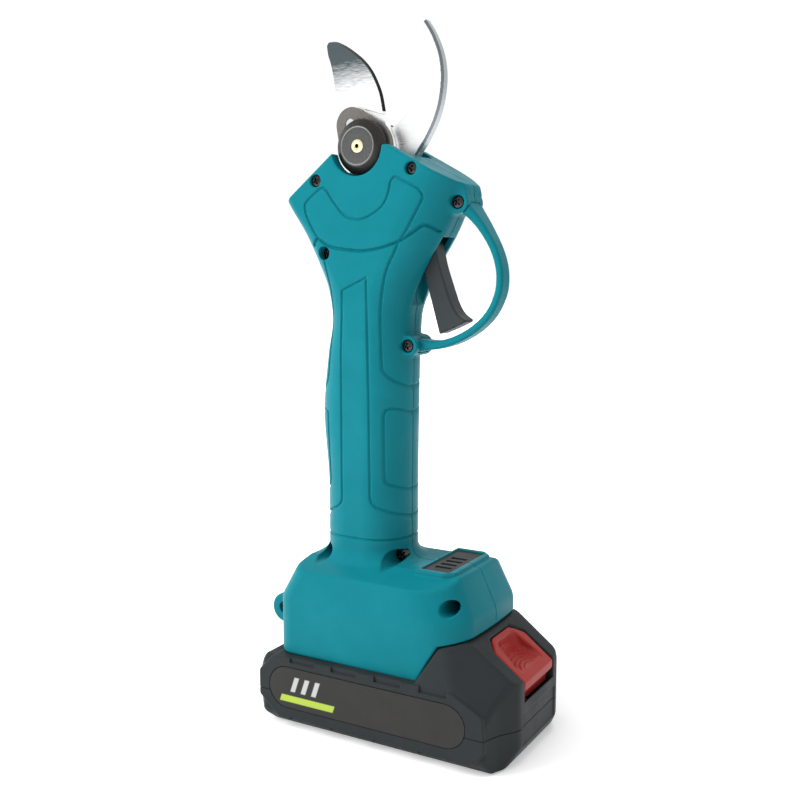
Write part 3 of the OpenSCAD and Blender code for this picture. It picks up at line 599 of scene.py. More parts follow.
def guard(x, y, z):
    """The finger guard: a flattened round bar with an eye at each end, wider towards its upper root."""
    near_root = np.clip(1 - (disc(x, z, *GUARD_ROOTS[0], 4.8)) / SPREAD_LENGTH, 0, 1)
    bar = both(GUARD_SHEET(x, z), deep(y, GUARD_HALF + GUARD_SPREAD * near_root ** 2), 1.4)
    bar = cut(bar, np.maximum(housing_outer(x, y, z) - 0.2, GUARD_HALF + 0.05 - np.abs(y)))
    for root in GUARD_ROOTS:
        bar = either(bar, both(disc(x, z, *root, 4), deep(y, GUARD_HALF), 0.6), 1.0)
    for root in GUARD_ROOTS:
        bar = cut(bar, disc(x, z, *root, 1.6))
    return bar


TRIGGER_PIVOT = middle("trigger_pin")[[0, 2]]
TRIGGER_SIDE = (curve([(33, 213), (34.9, 204.6), (37.8, 196.1), (40.7, 188.6), (43.5, 184.1), (47, 181.6)], 4)
                + curve([(47, 180.6), (40.8, 177.7), (35.1, 175.4)], 3)
                + [(29.7, 194.3), (26.8, 204.4), (25.6, 209), (28, 214.6)])


def trigger(x, y, z):
    """The trigger: a blade for the finger, and the arm that works the switch."""
    side = outline(x, z, TRIGGER_SIDE)
    front = both(side, deep(y, TRIGGER_HALF), 0.9)
    body = either(front, both(disc(x, z, *TRIGGER_PIVOT, 4.2), deep(y, TRIGGER_HALF), 0.5))
    px, pz = TRIGGER_PIVOT
    arm = brick((x, y, z), (17, -3.2, pz - 2), (px, 3.2, pz + 1.8), 0.4)
    return cut(either(body, arm, 0.6), disc(x, z, *TRIGGER_PIVOT, 1.55))


# ---------------------------------------------------------------- battery pack

REAR, FRONT = corner_box("battery_base")[0][0], corner_box("battery_base")[1][0]
PACK_HALF = corner_box("battery_base")[1][1]
SPLIT = corner_box("battery_cover")[0][2]
PANEL_SET = 0.8

PACK_LEFT = [(REAR, 7 - PACK_HALF), (REAR + 6, PANEL_SET - PACK_HALF), (FRONT - 9, PANEL_SET - PACK_HALF),
             (FRONT - 6.2, 8.2 - PACK_HALF), (FRONT, 17.8 - PACK_HALF)]
PACK_PLAN = rounded(PACK_LEFT + [(x, -y) for x, y in reversed(PACK_LEFT)], 1.8)
PACK_SIDE = rounded([(REAR, 9), (REAR, 24), (REAR + 7.5, 32.5), (40.3, 32.5), (48.9, 48.2), (59, 50.4),
                     (61.2, 49.8), (FRONT - 1, 35.4), (FRONT, 33.6), (FRONT, 8), (FRONT - 5, 0),
                     (REAR + 9, 0)], 1.0)
PACK_END = [(-PACK_HALF, 6.5), (-PACK_HALF, 33.5), (-29.8, 50.4), (-20, 53), (20, 53), (29.8, 50.4),
            (PACK_HALF, 33.5), (PACK_HALF, 6.5), (PACK_HALF - 6, 0), (6 - PACK_HALF, 0)]
SIDE_PANEL = rounded([(-38, 13), (-38, 24.6), (-30, 32.6), (58.5, 33.5), (72.5, 25.6), (73.5, 16),
                      (73.4, 10.9), (70.9, 7.1), (66.5, 4.1), (-27.5, 4.1)], 1.0)
TAB_PITCH = 21.6
TAB_LENGTH = 12.6
TAB_START = -21
TONGUE = (FLOOR_TOP + 0.3, FLOOR_TOP + 3.1)
LATCH_SHAFT = [(66.5, 12), (66.5, 22), (62.5, 22), (62.5, 60), (90, 60), (90, 30), (FRONT, 27.2),
               (FRONT - 3, 23.6), (FRONT - 3, 12)]
LABEL_LOW, LABEL_HIGH = corner_box("battery_labels")
LABEL_R = (LABEL_HIGH[2] - LABEL_LOW[2]) / 2


def label_shape(x, z):
    near_x = np.clip(x, LABEL_LOW[0] + LABEL_R, LABEL_HIGH[0] - LABEL_R)
    return np.hypot(x - near_x, z - (LABEL_LOW[2] + LABEL_HIGH[2]) / 2) - LABEL_R


def tabs(x, z):
    """The row of shallow notches along the top and bottom of the side panel."""
    made = np.full(x.shape, FAR_AWAY, np.float32)
    for k in range(4):
        start = TAB_START + TAB_PITCH * k
        made = np.minimum(made, span(x, start, start + TAB_LENGTH))
    return np.maximum(made, span(z, 5.2, 30.6) * -1)


SHOULDER_FACES = (0.4225, 0.745, 0.5164)
SHOULDER_REACH = 69.95


def pack_outside(x, y, z):
    """The battery's outside, with its raised side panels and its sloping shoulders beside the button."""
    body = both(PACK_SIDE_SHEET(x, z), outline(np.abs(y), z, PACK_END), 1.5)
    nx, ny, nz = SHOULDER_FACES
    body = both(body, nx * x + ny * np.abs(y) + nz * z - SHOULDER_REACH, 1.0)
    body = both(body, PACK_PLAN_SHEET(x, y), 1.5)
    panel = both(PANEL_SHEET(x, z), deep(y, PACK_HALF), 0.7)
    body = either(body, np.maximum(panel, 30 - np.abs(y)), 0.4)
    body = cut(body, np.maximum(TAB_SHEET(x, z), PACK_HALF - 0.95 - np.abs(y)), 0.3)
    body = cut(body, np.maximum(label_shape(x, z) - 0.25, PACK_HALF - 0.5 - np.abs(y)), 0.2)
    return body


PACK_PLAN_SHEET = outline_sheet(PACK_PLAN, (REAR - 6, -44), (FRONT + 6, 44))
PACK_SIDE_AREA = ((REAR - 6, -6), (FRONT + 6, 60))
PACK_SIDE_SHEET = outline_sheet(PACK_SIDE, *PACK_SIDE_AREA)
PANEL_SHEET = outline_sheet(SIDE_PANEL, *PACK_SIDE_AREA)
TAB_SHEET = Sheet(tabs, *PACK_SIDE_AREA)
SHAFT_SHEET = outline_sheet(LATCH_SHAFT, *PACK_SIDE_AREA)


def pack_room(x, y, z):
    """The space for the cells."""
    return np.maximum(brick((x, y, z), (REAR + 3, 2.4 - PACK_HALF, 2.4), (57.6, PACK_HALF - 2.4, 30)),
                      6 - z + np.abs(y) - PACK_HALF + 2.4)


BUTTON_HALF = 15.3


def button_corner(x, y):
    """The button's two rear corners, seen from above, are cut off."""
    return (5.8 * (62.9 - x) + 4.6 * (np.abs(y) - BUTTON_HALF) + 26.7) / 7.4


PACK_WALL = 1.2


def pack_case(x, y, z):
    """Base and cover together, hollow, with the button's shaft."""
    outside = pack_outside(x, y, z)
    case = cut(outside, np.maximum(pack_room(x, y, z), outside + PACK_WALL))
    shaft = np.maximum(deep(y, BUTTON_HALF + 0.4), button_corner(x, y) - 0.4)
    case = cut(case, np.maximum(SHAFT_SHEET(x, z), shaft), 0.5)
    case = cut(case, brick((x, y, z), (FRONT - 0.9, -17.5, 7.5), (FRONT + 5, 17.5, 22), 0.9), 0.4)
    return case


BASE_SCREWS = [(x, y) for x in (REAR + 13, FRONT - 15) for y in (-24, 24)]
HALF_SEAM = 0.06


def pack_base(x, y, z):
    low = both(pack_case(x, y, z), z - SPLIT + HALF_SEAM, 0.3)
    for sx, sy in BASE_SCREWS:
        low = cut(low, np.maximum(disc(x, y, sx, sy, 2.6), z - 2.05), 0.3)
    return low


def pack_cover(x, y, z):
    """The cover, with the tongue that slides into the foot."""
    case = both(pack_case(x, y, z), SPLIT + HALF_SEAM - z, 0.3)
    neck = brick((x, y, z), (-28, -21, PACK_TOP - 1.5), (46, 21, TONGUE[0] + 0.4), 0.3)
    rail = brick((x, y, z), (-28, -25, TONGUE[0]), (44, 25, TONGUE[1]), 0.5)
    tongue = np.minimum(neck, rail)
    tongue = cut(tongue, brick((x, y, z), (-25, -18, PACK_TOP - 4), (40, 18, TONGUE[1] - 3)))
    case = np.minimum(case, tongue)
    for y_slot in (-14, 0, 14):
        case = cut(case, brick((x, y, z), (-29, y_slot - 1, 33.5), (-11, y_slot + 1, 42), 0.2), 0.2)
    return case


BUTTON_SIDE = rounded([(62.9, 33), (62.9, 48), (65, 46.8), (FRONT - 0.6, 34.4), (FRONT - 0.6, 31),
                       (FRONT - 3.4, 27.6), (FRONT - 3.4, 24.5), (76, 24.5), (76, 33)], 0.8)
BUTTON_SCOOP = [(65, 60), (65, 43), (67, 39), (71, 37.2), (78.4, 36.7), (90, 46), (90, 60)]


def button(x, y, z):
    """The release button: a sloping block with a thumb scoop, and low curved ribs on the scoop's floor."""
    block = both(outline(x, z, BUTTON_SIDE), deep(y, BUTTON_HALF), 1.0)
    block = both(block, button_corner(x, y), 1.5)
    ribs = 0.45 * np.clip(1.2 - np.abs(((np.hypot(x - 86, y) + 0.9) % 2.0) - 1.0) * 2.0, 0, 1)
    ribs = ribs * np.clip((78 - x) / 1.5, 0, 1) * np.clip((10 - np.abs(y)) / 1, 0, 1)
    sides = deep(y, 11.9 - 0.22 * (79 - x))
    return cut(block, both(outline(x, z, BUTTON_SCOOP) + ribs, sides, 2.5), 0.7)


# ---------------------------------------------------------------- blades

BLADE_EDGE = curve([(-17.6, 300.3), (-14.3, 299.8), (-9.6, 297.5), (-4.6, 294.1), (-0.4, 290.6), (3.4, 286.1),
                    (6.2, 281), (8.3, 275.7), (9.8, 268.4)], 4)
BLADE_BACK = curve([(-8.6, 258), (-12, 264), (-14, 272), (-15.4, 283), (-16.9, 290), (-18.4, 294.4),
                    (-19, 298.4)], 4)
BLADE_Y = (corner_box("moving_blade")[0][1], corner_box("moving_blade")[1][1])
HOOK_OUTER = curve([(26.9, 305.4), (30.8, 299.4), (34.3, 291), (35.6, 282), (34.6, 272.5), (31.9, 264.1),
                    (27.6, 256.4), (23.4, 250.4), (22, 246)], 4)
HOOK_INNER = curve([(10.2, 262), (15.6, 265.2), (22.3, 271.3), (26.6, 278.5), (28.2, 288.2), (27.1, 296.6),
                    (25.6, 302.8)], 4)
EDGE_Y = BLADE_Y[0] + 1.8
HOOK_Y = (corner_box("fixed_blade")[0][1], corner_box("fixed_blade")[1][1])
HUB_R = 11.4
PIN = middle("drive_pin")[[0, 2]]

BLADE_AREA = ((-24, 238), (20, 306), 0.15)
HOOK_AREA = ((-14, 232), (42, 310), 0.15)

BLADE_SHEET = outline_sheet(BLADE_EDGE + [(12, 258), (2, 246)] + BLADE_BACK, *BLADE_AREA)
BLADE_EDGE_SHEET = line_sheet(BLADE_EDGE, *BLADE_AREA)
HOOK_SHEET = outline_sheet(HOOK_OUTER + [(21.6, 238.5), (12, 237.5), (6, 246)] + HOOK_INNER, *HOOK_AREA)
HOOK_OUTER_SHEET = line_sheet(HOOK_OUTER, *HOOK_AREA)
HOOK_INNER_SHEET = line_sheet(HOOK_INNER, *HOOK_AREA)


def moving_blade(x, y, z):
    """The cutting blade: a steep bevel in front and a long one behind meet in the edge, and a fine groove
    marks its heel."""
    front, back = BLADE_Y
    plate = both(BLADE_SHEET(x, z), span(y, front, back), 0.25)
    inward = BLADE_EDGE_SHEET(x, z)
    plate = np.maximum(plate, ((EDGE_Y - y) * 0.4 - inward) * 0.93)
    plate = np.maximum(plate, (y - EDGE_Y - inward) * 0.7)
    plate = np.minimum(plate, both(disc(x, z, *PIVOT, HUB_R), span(y, front, back), 0.25))
    plate = cut(plate, np.maximum(line(x, z, [(0.6, 269.8), (11.6, 266.5)]) - 0.3, y - front - 0.25))
    plate = cut(plate, disc(x, z, *PIVOT, 6.02))
    return cut(plate, disc(x, z, *PIN, 2.22))


def hook_blade(x, y, z):
    """The hooked blade: its outer rim has a ground chamfer in front, its inner edge a short one behind."""
    front, back = HOOK_Y
    plate = both(HOOK_SHEET(x, z), span(y, front, back), 0.25)
    plate = np.maximum(plate, (front + 1.1 - y - HOOK_OUTER_SHEET(x, z)) * 0.7)
    plate = np.maximum(plate, (y - back + 2.2 - HOOK_INNER_SHEET(x, z) * 1.2) * 0.64)
    plate = np.minimum(plate, both(disc(x, z, *PIVOT, HUB_R), span(y, front, back), 0.25))
    plate = cut(plate, disc(x, z, *PIVOT, 4.03))
    for cx, cz in ((PIVOT[0] + 13, 241.5), (PIVOT[0] + 18, 244)):
        plate = cut(plate, disc(x, z, cx, cz, 1.6))
    return plate


# ---------------------------------------------------------------- turned pieces and screws

def turned(profile, centre, around=96):
    """Points and faces of a closed profile of (radius, y), turned about a line along y through the centre."""
    points, faces = [], []
    n = len(profile)
    for k in range(around):
        c, s = math.cos(2 * math.pi * k / around), math.sin(2 * math.pi * k / around)
        for r, h in profile:
            points.append([a + b for a, b in zip(centre, (r * c, h, r * s))])
    for k in range(around):
        for i in range(n):
            a, b = k * n + i, k * n + (i + 1) % n
            c, d = (k + 1) % around * n + (i + 1) % n, (k + 1) % around * n + i
            faces.append((a, b, c, d))
    return points, faces


def turned_piece(name, profile, centre, fillet):
    """A turned piece with every corner of its profile rounded to the fillet."""
    points, faces = turned(rounded(profile, fillet, 3), centre)
    piece = new_piece(name, points, faces)
    tidy(piece, 20)
    return piece


def tidy(piece, angle):
    """Welds the mesh, turns its faces outward and keeps its sharp edges."""
    bm = bmesh.new()
    bm.from_mesh(piece.data)
    bmesh.ops.remove_doubles(bm, verts=bm.verts, dist=0.002 * MM)
    bmesh.ops.dissolve_degenerate(bm, dist=0.002 * MM, edges=bm.edges)
    bmesh.ops.recalc_face_normals(bm, faces=bm.faces)
    bm.to_mesh(piece.data)
    bm.free()
    piece.data.shade_smooth()
    piece.data.set_sharp_from_angle(angle=math.radians(angle))


def screw_head(radius):
    """A domed head with a tapering cross recess, its seat at y = 0 and its top towards -y."""
    def field(x, y, z):
        dome = np.sqrt(x * x + (y - radius * 1.9) ** 2 + z * z) - radius * 1.9 - 2
        head = both(both(np.hypot(x, z) - radius, span(y, -2.1, 0), 0.25), dome, 0.2)
        reach = 0.62 * radius - (y + 2) * 0.25
        arm = 0.42 - (y + 2) * 0.08
        cross = np.minimum(np.maximum(np.abs(x) - reach, np.abs(z) - arm),
                           np.maximum(np.abs(z) - reach, np.abs(x) - arm))
        cross = np.minimum(cross, np.hypot(x, z) - 0.85 + (y + 2) * 0.3)
        return cut(head, np.maximum(cross, y + 0.7), 0.12)
    return field


def screw_set(name, node, spots, upward=False):
    """All the screws of one node, each with its head and its shank, pointing along y or upward."""
    heads = {}
    points, quads, start = [], [], 0
    for place, radius, length, turn in spots:
        if radius not in heads:
            reach = np.array([radius, 0, radius]) + 0.3
            low = -reach - np.array([0, 2.4, 0])
            heads[radius] = moulded_arrays(screw_head(radius), low, reach + np.array([0, 0.3, 0]), TINY)
        head, head_quads = heads[radius]
        c, s = math.cos(turn), math.sin(turn)
        spun = np.stack([head[:, 0] * c - head[:, 2] * s, head[:, 1], head[:, 0] * s + head[:, 2] * c], -1)
        shank, shank_faces = turned([(0, -0.2), (1.2, -0.2), (1.2, length - 1), (0.5, length), (0, length)],
                                    (0, 0, 0), 24)
        for part, faces in ((spun, head_quads), (np.array(shank), np.array(shank_faces))):
            if upward:
                part = np.stack([part[:, 0], -part[:, 2], part[:, 1]], -1)
            points.append(part + np.array(place))
            quads.append(faces + start)
            start += len(part)
    piece = quad_piece(name, np.concatenate(points).astype(np.float32), np.concatenate(quads))
    tidy(piece, 30)
    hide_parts(node)
    return piece


# ---------------------------------------------------------------- materials

class Surface:
    """A procedural material under construction: short calls that add and link nodes."""

    def __init__(self, name, colour, rough, metal=0.0):
        self.material = bpy.data.materials.new(name)
        self.material.use_nodes = True
        self.tree = self.material.node_tree
        self.shader = self.tree.nodes["Principled BSDF"]
        self.set("Base Color", (*colour, 1))
        self.set("Roughness", rough)
        self.set("Metallic", metal)
        self.colour = colour
        self.where = self.add("ShaderNodeTexCoord").outputs["Object"]
        self.normal = None
        self.surface_colour = None

    def add(self, kind, **settings):
        node = self.tree.nodes.new(kind)
        for key, value in settings.items():
            setattr(node, key, value)
        return node

    def set(self, socket, value):
        self.shader.inputs[socket].default_value = value

    def link(self, source, target):
        self.tree.links.new(source, target)
        return source

    def noise(self, size_mm, detail=2.0, stretch=(1, 1, 1), turn=(0, 0, 0)):
        """Noise with features of about the given size, drawn out along stretched axes."""
        mapping = self.add("ShaderNodeMapping")
        mapping.inputs["Scale"].default_value = [1000 / (size_mm * s) for s in stretch]
        mapping.inputs["Rotation"].default_value = turn
        self.link(self.where, mapping.inputs["Vector"])
        node = self.add("ShaderNodeTexNoise")
        node.inputs["Scale"].default_value = 1.0
        node.inputs["Detail"].default_value = detail
        self.link(mapping.outputs["Vector"], node.inputs["Vector"])
        return node.outputs["Fac"]

    def remap(self, source, low, high, to_low, to_high):
        node = self.add("ShaderNodeMapRange")
        for key, value in (("From Min", low), ("From Max", high), ("To Min", to_low), ("To Max", to_high)):
            node.inputs[key].default_value = value
        self.link(source, node.inputs["Value"])
        return node.outputs["Result"]

    def bump(self, height, depth_mm, strength=1.0):
        node = self.add("ShaderNodeBump")
        node.inputs["Distance"].default_value = depth_mm * MM
        node.inputs["Strength"].default_value = strength
        self.link(height, node.inputs["Height"])
        if self.normal is not None:
            self.link(self.normal, node.inputs["Normal"])
        self.normal = node.outputs["Normal"]
        self.link(self.normal, self.shader.inputs["Normal"])

    def soft_edges(self, radius_mm):
        node = self.add("ShaderNodeBevel", samples=4)
        node.inputs["Radius"].default_value = radius_mm * MM
        self.normal = node.outputs["Normal"]
        self.link(self.normal, self.shader.inputs["Normal"])

    def tint(self, amount, other):
        """Blends the colour towards another by amount, a 0 to 1 socket."""
        node = self.add("ShaderNodeMix", data_type="RGBA")
        if self.surface_colour is None:
            node.inputs["A"].default_value = (*self.colour, 1)
        else:
            self.link(self.surface_colour, node.inputs["A"])
        node.inputs["B"].default_value = (*other, 1)
        self.link(amount, node.inputs["Factor"])
        self.surface_colour = node.outputs["Result"]
        self.link(self.surface_colour, self.shader.inputs["Base Color"])

    def worn_and_highlit_edges(self, radius_mm, colour, share=0.5):
        """Lightens the colour along outer edges: partly rubbed wear, partly a painted edge highlight."""
        node = self.add("ShaderNodeBevel", samples=4)
        node.inputs["Radius"].default_value = radius_mm * MM
        flat = self.add("ShaderNodeNewGeometry")
        dot = self.add("ShaderNodeVectorMath", operation="DOT_PRODUCT")
        self.link(node.outputs["Normal"], dot.inputs[0])
        self.link(flat.outputs["Normal"], dot.inputs[1])
        self.tint(self.remap(dot.outputs["Value"], 0.98, 0.75, 0, share), colour)


def moulded_plastic(name, colour, rough, grain_mm=0.45, depth_mm=0.02, mottle=0.08, shine=0.2):
    """Spark-eroded moulded plastic: fine grain, faint clouding, slightly shinier where it is handled."""
    s = Surface(name, colour, rough)
    light = tuple(min(1, c * 1.22 + 0.004) for c in colour)
    dark = tuple(c * 0.84 for c in colour)
    s.tint(s.remap(s.noise(26, 3), 0.42, 0.7, 0, mottle * 5), light)
    s.tint(s.remap(s.noise(9, 3), 0.5, 0.8, 0, mottle * 4), dark)
    grain = s.noise(grain_mm, 3)
    s.bump(grain, depth_mm, 0.55)
    s.bump(s.noise(5, 2), 0.05, 0.12)
    s.link(s.remap(s.noise(14, 4), 0.35, 0.7, rough - 0.06, rough + 0.08), s.shader.inputs["Roughness"])
    s.set("Specular IOR Level", shine)
    return s


def brushed_steel(name, colour, rough, turn=(0, 0, 0), along_mm=12.0):
    """Steel with long fine grinding marks."""
    s = Surface(name, colour, rough, 1.0)
    marks = s.noise(0.16, 4, (along_mm / 0.16, 1, 1), turn)
    broad = s.noise(0.7, 3, (along_mm / 0.35, 1, 1), turn)
    s.tint(s.remap(marks, 0.4, 0.75, 0, 0.45), tuple(c * 0.74 for c in colour))
    s.tint(s.remap(broad, 0.45, 0.8, 0, 0.35), tuple(min(1, c * 1.12) for c in colour))
    s.bump(marks, 0.012, 0.5)
    s.link(s.remap(broad, 0.3, 0.75, rough - 0.06, rough + 0.12), s.shader.inputs["Roughness"])
    return s


def dark_metal(name, colour, rough, metal=0.85, edge=(0.32, 0.31, 0.29)):
    """Blackened steel with a granular surface, its edges lightened by rubbing and by a painted highlight."""
    s = Surface(name, colour, rough, metal)
    s.soft_edges(0.25)
    speckle = s.noise(0.5, 4)
    s.tint(s.remap(speckle, 0.45, 0.75, 0, 0.5), tuple(min(1, c * 2.2 + 0.01) for c in colour))
    # edges lightened partly by wear and partly by a painted highlight
    s.worn_and_highlit_edges(0.3, edge, 0.55)
    s.bump(speckle, 0.03, 0.5)
    s.link(s.remap(s.noise(3, 3), 0.3, 0.7, rough - 0.08, rough + 0.1), s.shader.inputs["Roughness"])
    return s


def plain_metal(name, colour, rough):
    """Machined metal for the works inside."""
    s = Surface(name, colour, rough, 1.0)
    s.soft_edges(0.15)
    marks = s.noise(0.4, 3, (1, 1, 14))
    s.tint(s.remap(marks, 0.4, 0.75, 0, 0.4), tuple(c * 0.75 for c in colour))
    s.bump(s.noise(0.3, 3), 0.008, 0.4)
    s.link(s.remap(s.noise(4, 3), 0.3, 0.7, rough - 0.05, rough + 0.1), s.shader.inputs["Roughness"])
    return s


def striped(name, colour, stripe, width_mm):
    """Plastic with regular bands, for coils of wire and printed boards."""
    s = moulded_plastic(name, colour, 0.45, 0.6, 0.01, 0.05)
    wave = s.add("ShaderNodeTexWave", bands_direction="Z")
    wave.inputs["Scale"].default_value = 1000 / width_mm / 6.28
    s.link(s.where, wave.inputs["Vector"])
    s.tint(s.remap(wave.outputs["Fac"], 0.4, 0.6, 0, 0.6), stripe)
    return s


def tip_shade(surface):
    """The blade's end is dark from heat; crosswise brush marks fade it into bright steel."""
    split = surface.add("ShaderNodeSeparateXYZ")
    surface.link(surface.where, split.inputs["Vector"])
    level = surface.add("ShaderNodeMath", operation="MULTIPLY_ADD")
    level.inputs[1].default_value = -0.1
    surface.link(split.outputs["X"], level.inputs[0])
    surface.link(split.outputs["Z"], level.inputs[2])
    ragged = surface.add("ShaderNodeMath", operation="MULTIPLY_ADD")
    ragged.inputs[1].default_value = 0.014
    surface.link(surface.noise(0.4, 4, (9, 1, 1), (0, math.radians(8), 0)), ragged.inputs[0])
    surface.link(level.outputs["Value"], ragged.inputs[2])
    surface.tint(surface.remap(ragged.outputs["Value"], 0.2865, 0.2985, 0, 0.96), (0.062, 0.09, 0.1))


def label_print(surface):
    """Plain slanted bars on the battery's label, in place of any lettering."""
    split = surface.add("ShaderNodeSeparateXYZ")
    surface.link(surface.where, split.inputs["Vector"])

    def between(source, low, high, soft=0.0002):
        a = surface.remap(source, low - soft, low + soft, 0, 1)
        b = surface.remap(source, high - soft, high + soft, 1, 0)
        both_sides = surface.add("ShaderNodeMath", operation="MULTIPLY")
        surface.link(a, both_sides.inputs[0])
        surface.link(b, both_sides.inputs[1])
        return both_sides.outputs["Value"]

    slant = surface.add("ShaderNodeMath", operation="MULTIPLY_ADD")
    slant.inputs[1].default_value = -0.35
    surface.link(split.outputs["Z"], slant.inputs[0])
    surface.link(split.outputs["X"], slant.inputs[2])
    for low, high, bottom, top, colour in LABEL_BARS:
        area = surface.add("ShaderNodeMath", operation="MULTIPLY")
        surface.link(between(slant.outputs["Value"], low * MM, high * MM), area.inputs[0])
        surface.link(between(split.outputs["Z"], bottom * MM, top * MM), area.inputs[1])
        surface.tint(area.outputs["Value"], colour)


LIME = (0.42, 0.56, 0.08)
PALE = (0.5, 0.52, 0.51)
LABEL_BARS = [(-31, -3, 12.4, 15.4, LIME), (-27, -24.6, 17.4, 24.2, PALE), (-21.5, -19.1, 17.4, 24.2, PALE),
              (-16, -13.6, 17.4, 24.2, PALE)]


def make_surfaces():
    made = {
        "housing_teal": moulded_plastic("housing_teal", (0.004, 0.183, 0.224), 0.42, shine=0.08),
        "battery_dark": moulded_plastic("battery_dark", (0.023, 0.0275, 0.029), 0.5, 0.5, 0.03, shine=0.12),
        "trigger_grey": moulded_plastic("trigger_grey", (0.036, 0.042, 0.045), 0.48, 0.5, 0.03, shine=0.14),
        "button_red": moulded_plastic("button_red", (0.36, 0.028, 0.023), 0.4, 0.6, 0.015),
        "black_plastic": moulded_plastic("black_plastic", (0.02, 0.021, 0.022), 0.5),
        "nylon_white": moulded_plastic("nylon_white", (0.7, 0.69, 0.65), 0.45),
        "label_grey": moulded_plastic("label_grey", (0.037, 0.036, 0.035), 0.62, 0.3, 0.02, shine=0.12),
        "cell_wrap": moulded_plastic("cell_wrap", (0.03, 0.12, 0.3), 0.3),
        "wire_yellow": moulded_plastic("wire_yellow", (0.7, 0.5, 0.03), 0.45),
        "wire_red": moulded_plastic("wire_red", (0.55, 0.03, 0.02), 0.45),
        "board_green": moulded_plastic("board_green", (0.01, 0.13, 0.04), 0.35, 1.4, 0.03, 0.15),
        "copper_windings": striped("copper_windings", (0.45, 0.17, 0.06), (0.2, 0.06, 0.02), 0.7),
        "blade_steel": brushed_steel("blade_steel", (0.95, 0.96, 0.965), 0.3, (0, math.radians(-40), 0)),
        "dark_steel": dark_metal("dark_steel", (0.028, 0.026, 0.025), 0.42),
        "screw_black": plain_metal("screw_black", (0.045, 0.045, 0.048), 0.2),
        "sintered_steel": dark_metal("sintered_steel", (0.15, 0.142, 0.13), 0.5, 0.8, (0.3, 0.29, 0.27)),
        "cast_dark": dark_metal("cast_dark", (0.012, 0.012, 0.013), 0.55, 0.6),
        "bright_steel": plain_metal("bright_steel", (0.72, 0.73, 0.74), 0.25),
        "nickel": plain_metal("nickel", (0.7, 0.67, 0.6), 0.3),
        "brass": plain_metal("brass", (0.9, 0.82, 0.52), 0.35),
        "bronze": plain_metal("bronze", (0.5, 0.3, 0.12), 0.35),
        "aluminium_cast": plain_metal("aluminium_cast", (0.6, 0.61, 0.62), 0.45),
    }
    label_print(made["label_grey"])
    return {name: surface.material for name, surface in made.items()}


# ---------------------------------------------------------------- assembly

SURFACES = make_surfaces()


def finish_piece(piece, body, slot, *nodes):
    piece.data.materials.clear()
    piece.data.materials.append(SURFACES[slot])
    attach(piece, body)
    if nodes:
        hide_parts(*nodes)
    return piece


def build_mouldings():
    for side, node in ((-1, "left_shell"), (1, "right_shell")):
        low, high = corner_box(node)
        piece = moulded(node + "_moulding", shell_half(side), low - 1.5, high + 1.5, FINE, 195000)
        finish_piece(piece, "handle", "housing_teal", node)
    for node, field, body, slot, step, triangles in (
            ("trigger_guard", guard, "handle", "housing_teal", SMALL, 60000),
            ("trigger_lever", trigger, "trigger", "trigger_grey", SMALL, 50000),
            ("battery_base", pack_base, "battery", "battery_dark", FINE, 150000),
            ("battery_cover", pack_cover, "battery", "battery_dark", FINE, 190000),
            ("release_button", button, "latch_button", "button_red", SMALL, 60000)):
        low, high = corner_box(node)
        piece = moulded(node + "_moulding", field, low - 4, high + 4, step, triangles)
        finish_piece(piece, body, slot, node)


def build_blades():
    dark_rim = dark_metal("bevel_dark", (0.012, 0.013, 0.014), 0.3).material
    ground = brushed_steel("ground_rim", (0.38, 0.41, 0.425), 0.32, (0, math.radians(80), 0), 6).material
    chamfer = brushed_steel("ground_chamfer", (0.16, 0.18, 0.195), 0.3, (0, math.radians(80), 0), 6).material
    shaded = brushed_steel("blade_steel_tip", (0.96, 0.965, 0.97), 0.3, (0, math.radians(-18), 0))
    tip_shade(shaded)
    # darker copies of the blade steel for the faces turned to the tool's right: painted shade on that side
    plain = brushed_steel("blade_steel_right", (0.4, 0.42, 0.43), 0.36, (0, math.radians(-40), 0))
    shaded_right_tip = brushed_steel("blade_steel_tip_painted_shade_right", (0.4, 0.42, 0.43), 0.36, (0, math.radians(-18), 0))
    tip_shade(shaded_right_tip)
    low, high = corner_box("moving_blade")
    blade = moulded("cutting_blade", moving_blade, low - 0.5, high + 0.5, BLADE_STEP, 160000)
    finish_piece(blade, "blade", "blade_steel", "moving_blade")
    blade.data.materials[0] = shaded.material
    blade.data.materials.append(dark_rim)
    centre = face_centres(blade.data)
    edge = BLADE_EDGE_SHEET(centre[:, 0], centre[:, 2])
    bevel = (centre[:, 1] > BLADE_Y[0] + 0.08) & (centre[:, 1] < EDGE_Y)
    paint(blade.data, bevel & (edge < 0.76) & (centre[:, 2] > 268.8), 1)
    # painted shade: the cutting blade's faces turned to the right take the darker copy
    blade.data.materials.append(shaded_right_tip.material)
    paint(blade.data, faces_right(blade.data), 2)
    low, high = corner_box("fixed_blade")
    hook = moulded("hook_blade", hook_blade, low - 0.5, high + 0.5, BLADE_STEP, 160000)
    finish_piece(hook, "handle", "blade_steel", "fixed_blade")
    hook.data.materials.append(ground)
    centre = face_centres(hook.data)
    outer = HOOK_OUTER_SHEET(centre[:, 0], centre[:, 2])
    chamfer_back = HOOK_Y[0] + 1.1
    paint(hook.data, (outer < 0.3) & (centre[:, 1] > chamfer_back) & (centre[:, 1] < HOOK_Y[1] - 0.1), 1)
    hook.data.materials.append(chamfer)
    paint(hook.data, (outer < 1.05) & (centre[:, 1] < chamfer_back) & (centre[:, 1] > HOOK_Y[0] + 0.05), 2)
    # painted shade: the hook's faces turned to the right take the darker copy
    hook.data.materials.append(plain.material)
    paint(hook.data, faces_right(hook.data), 3)


def face_centres(mesh):
    flat = np.empty(len(mesh.polygons) * 3, np.float32)
    mesh.polygons.foreach_get("center", flat)
    return flat.reshape(-1, 3) / np.float32(MM)


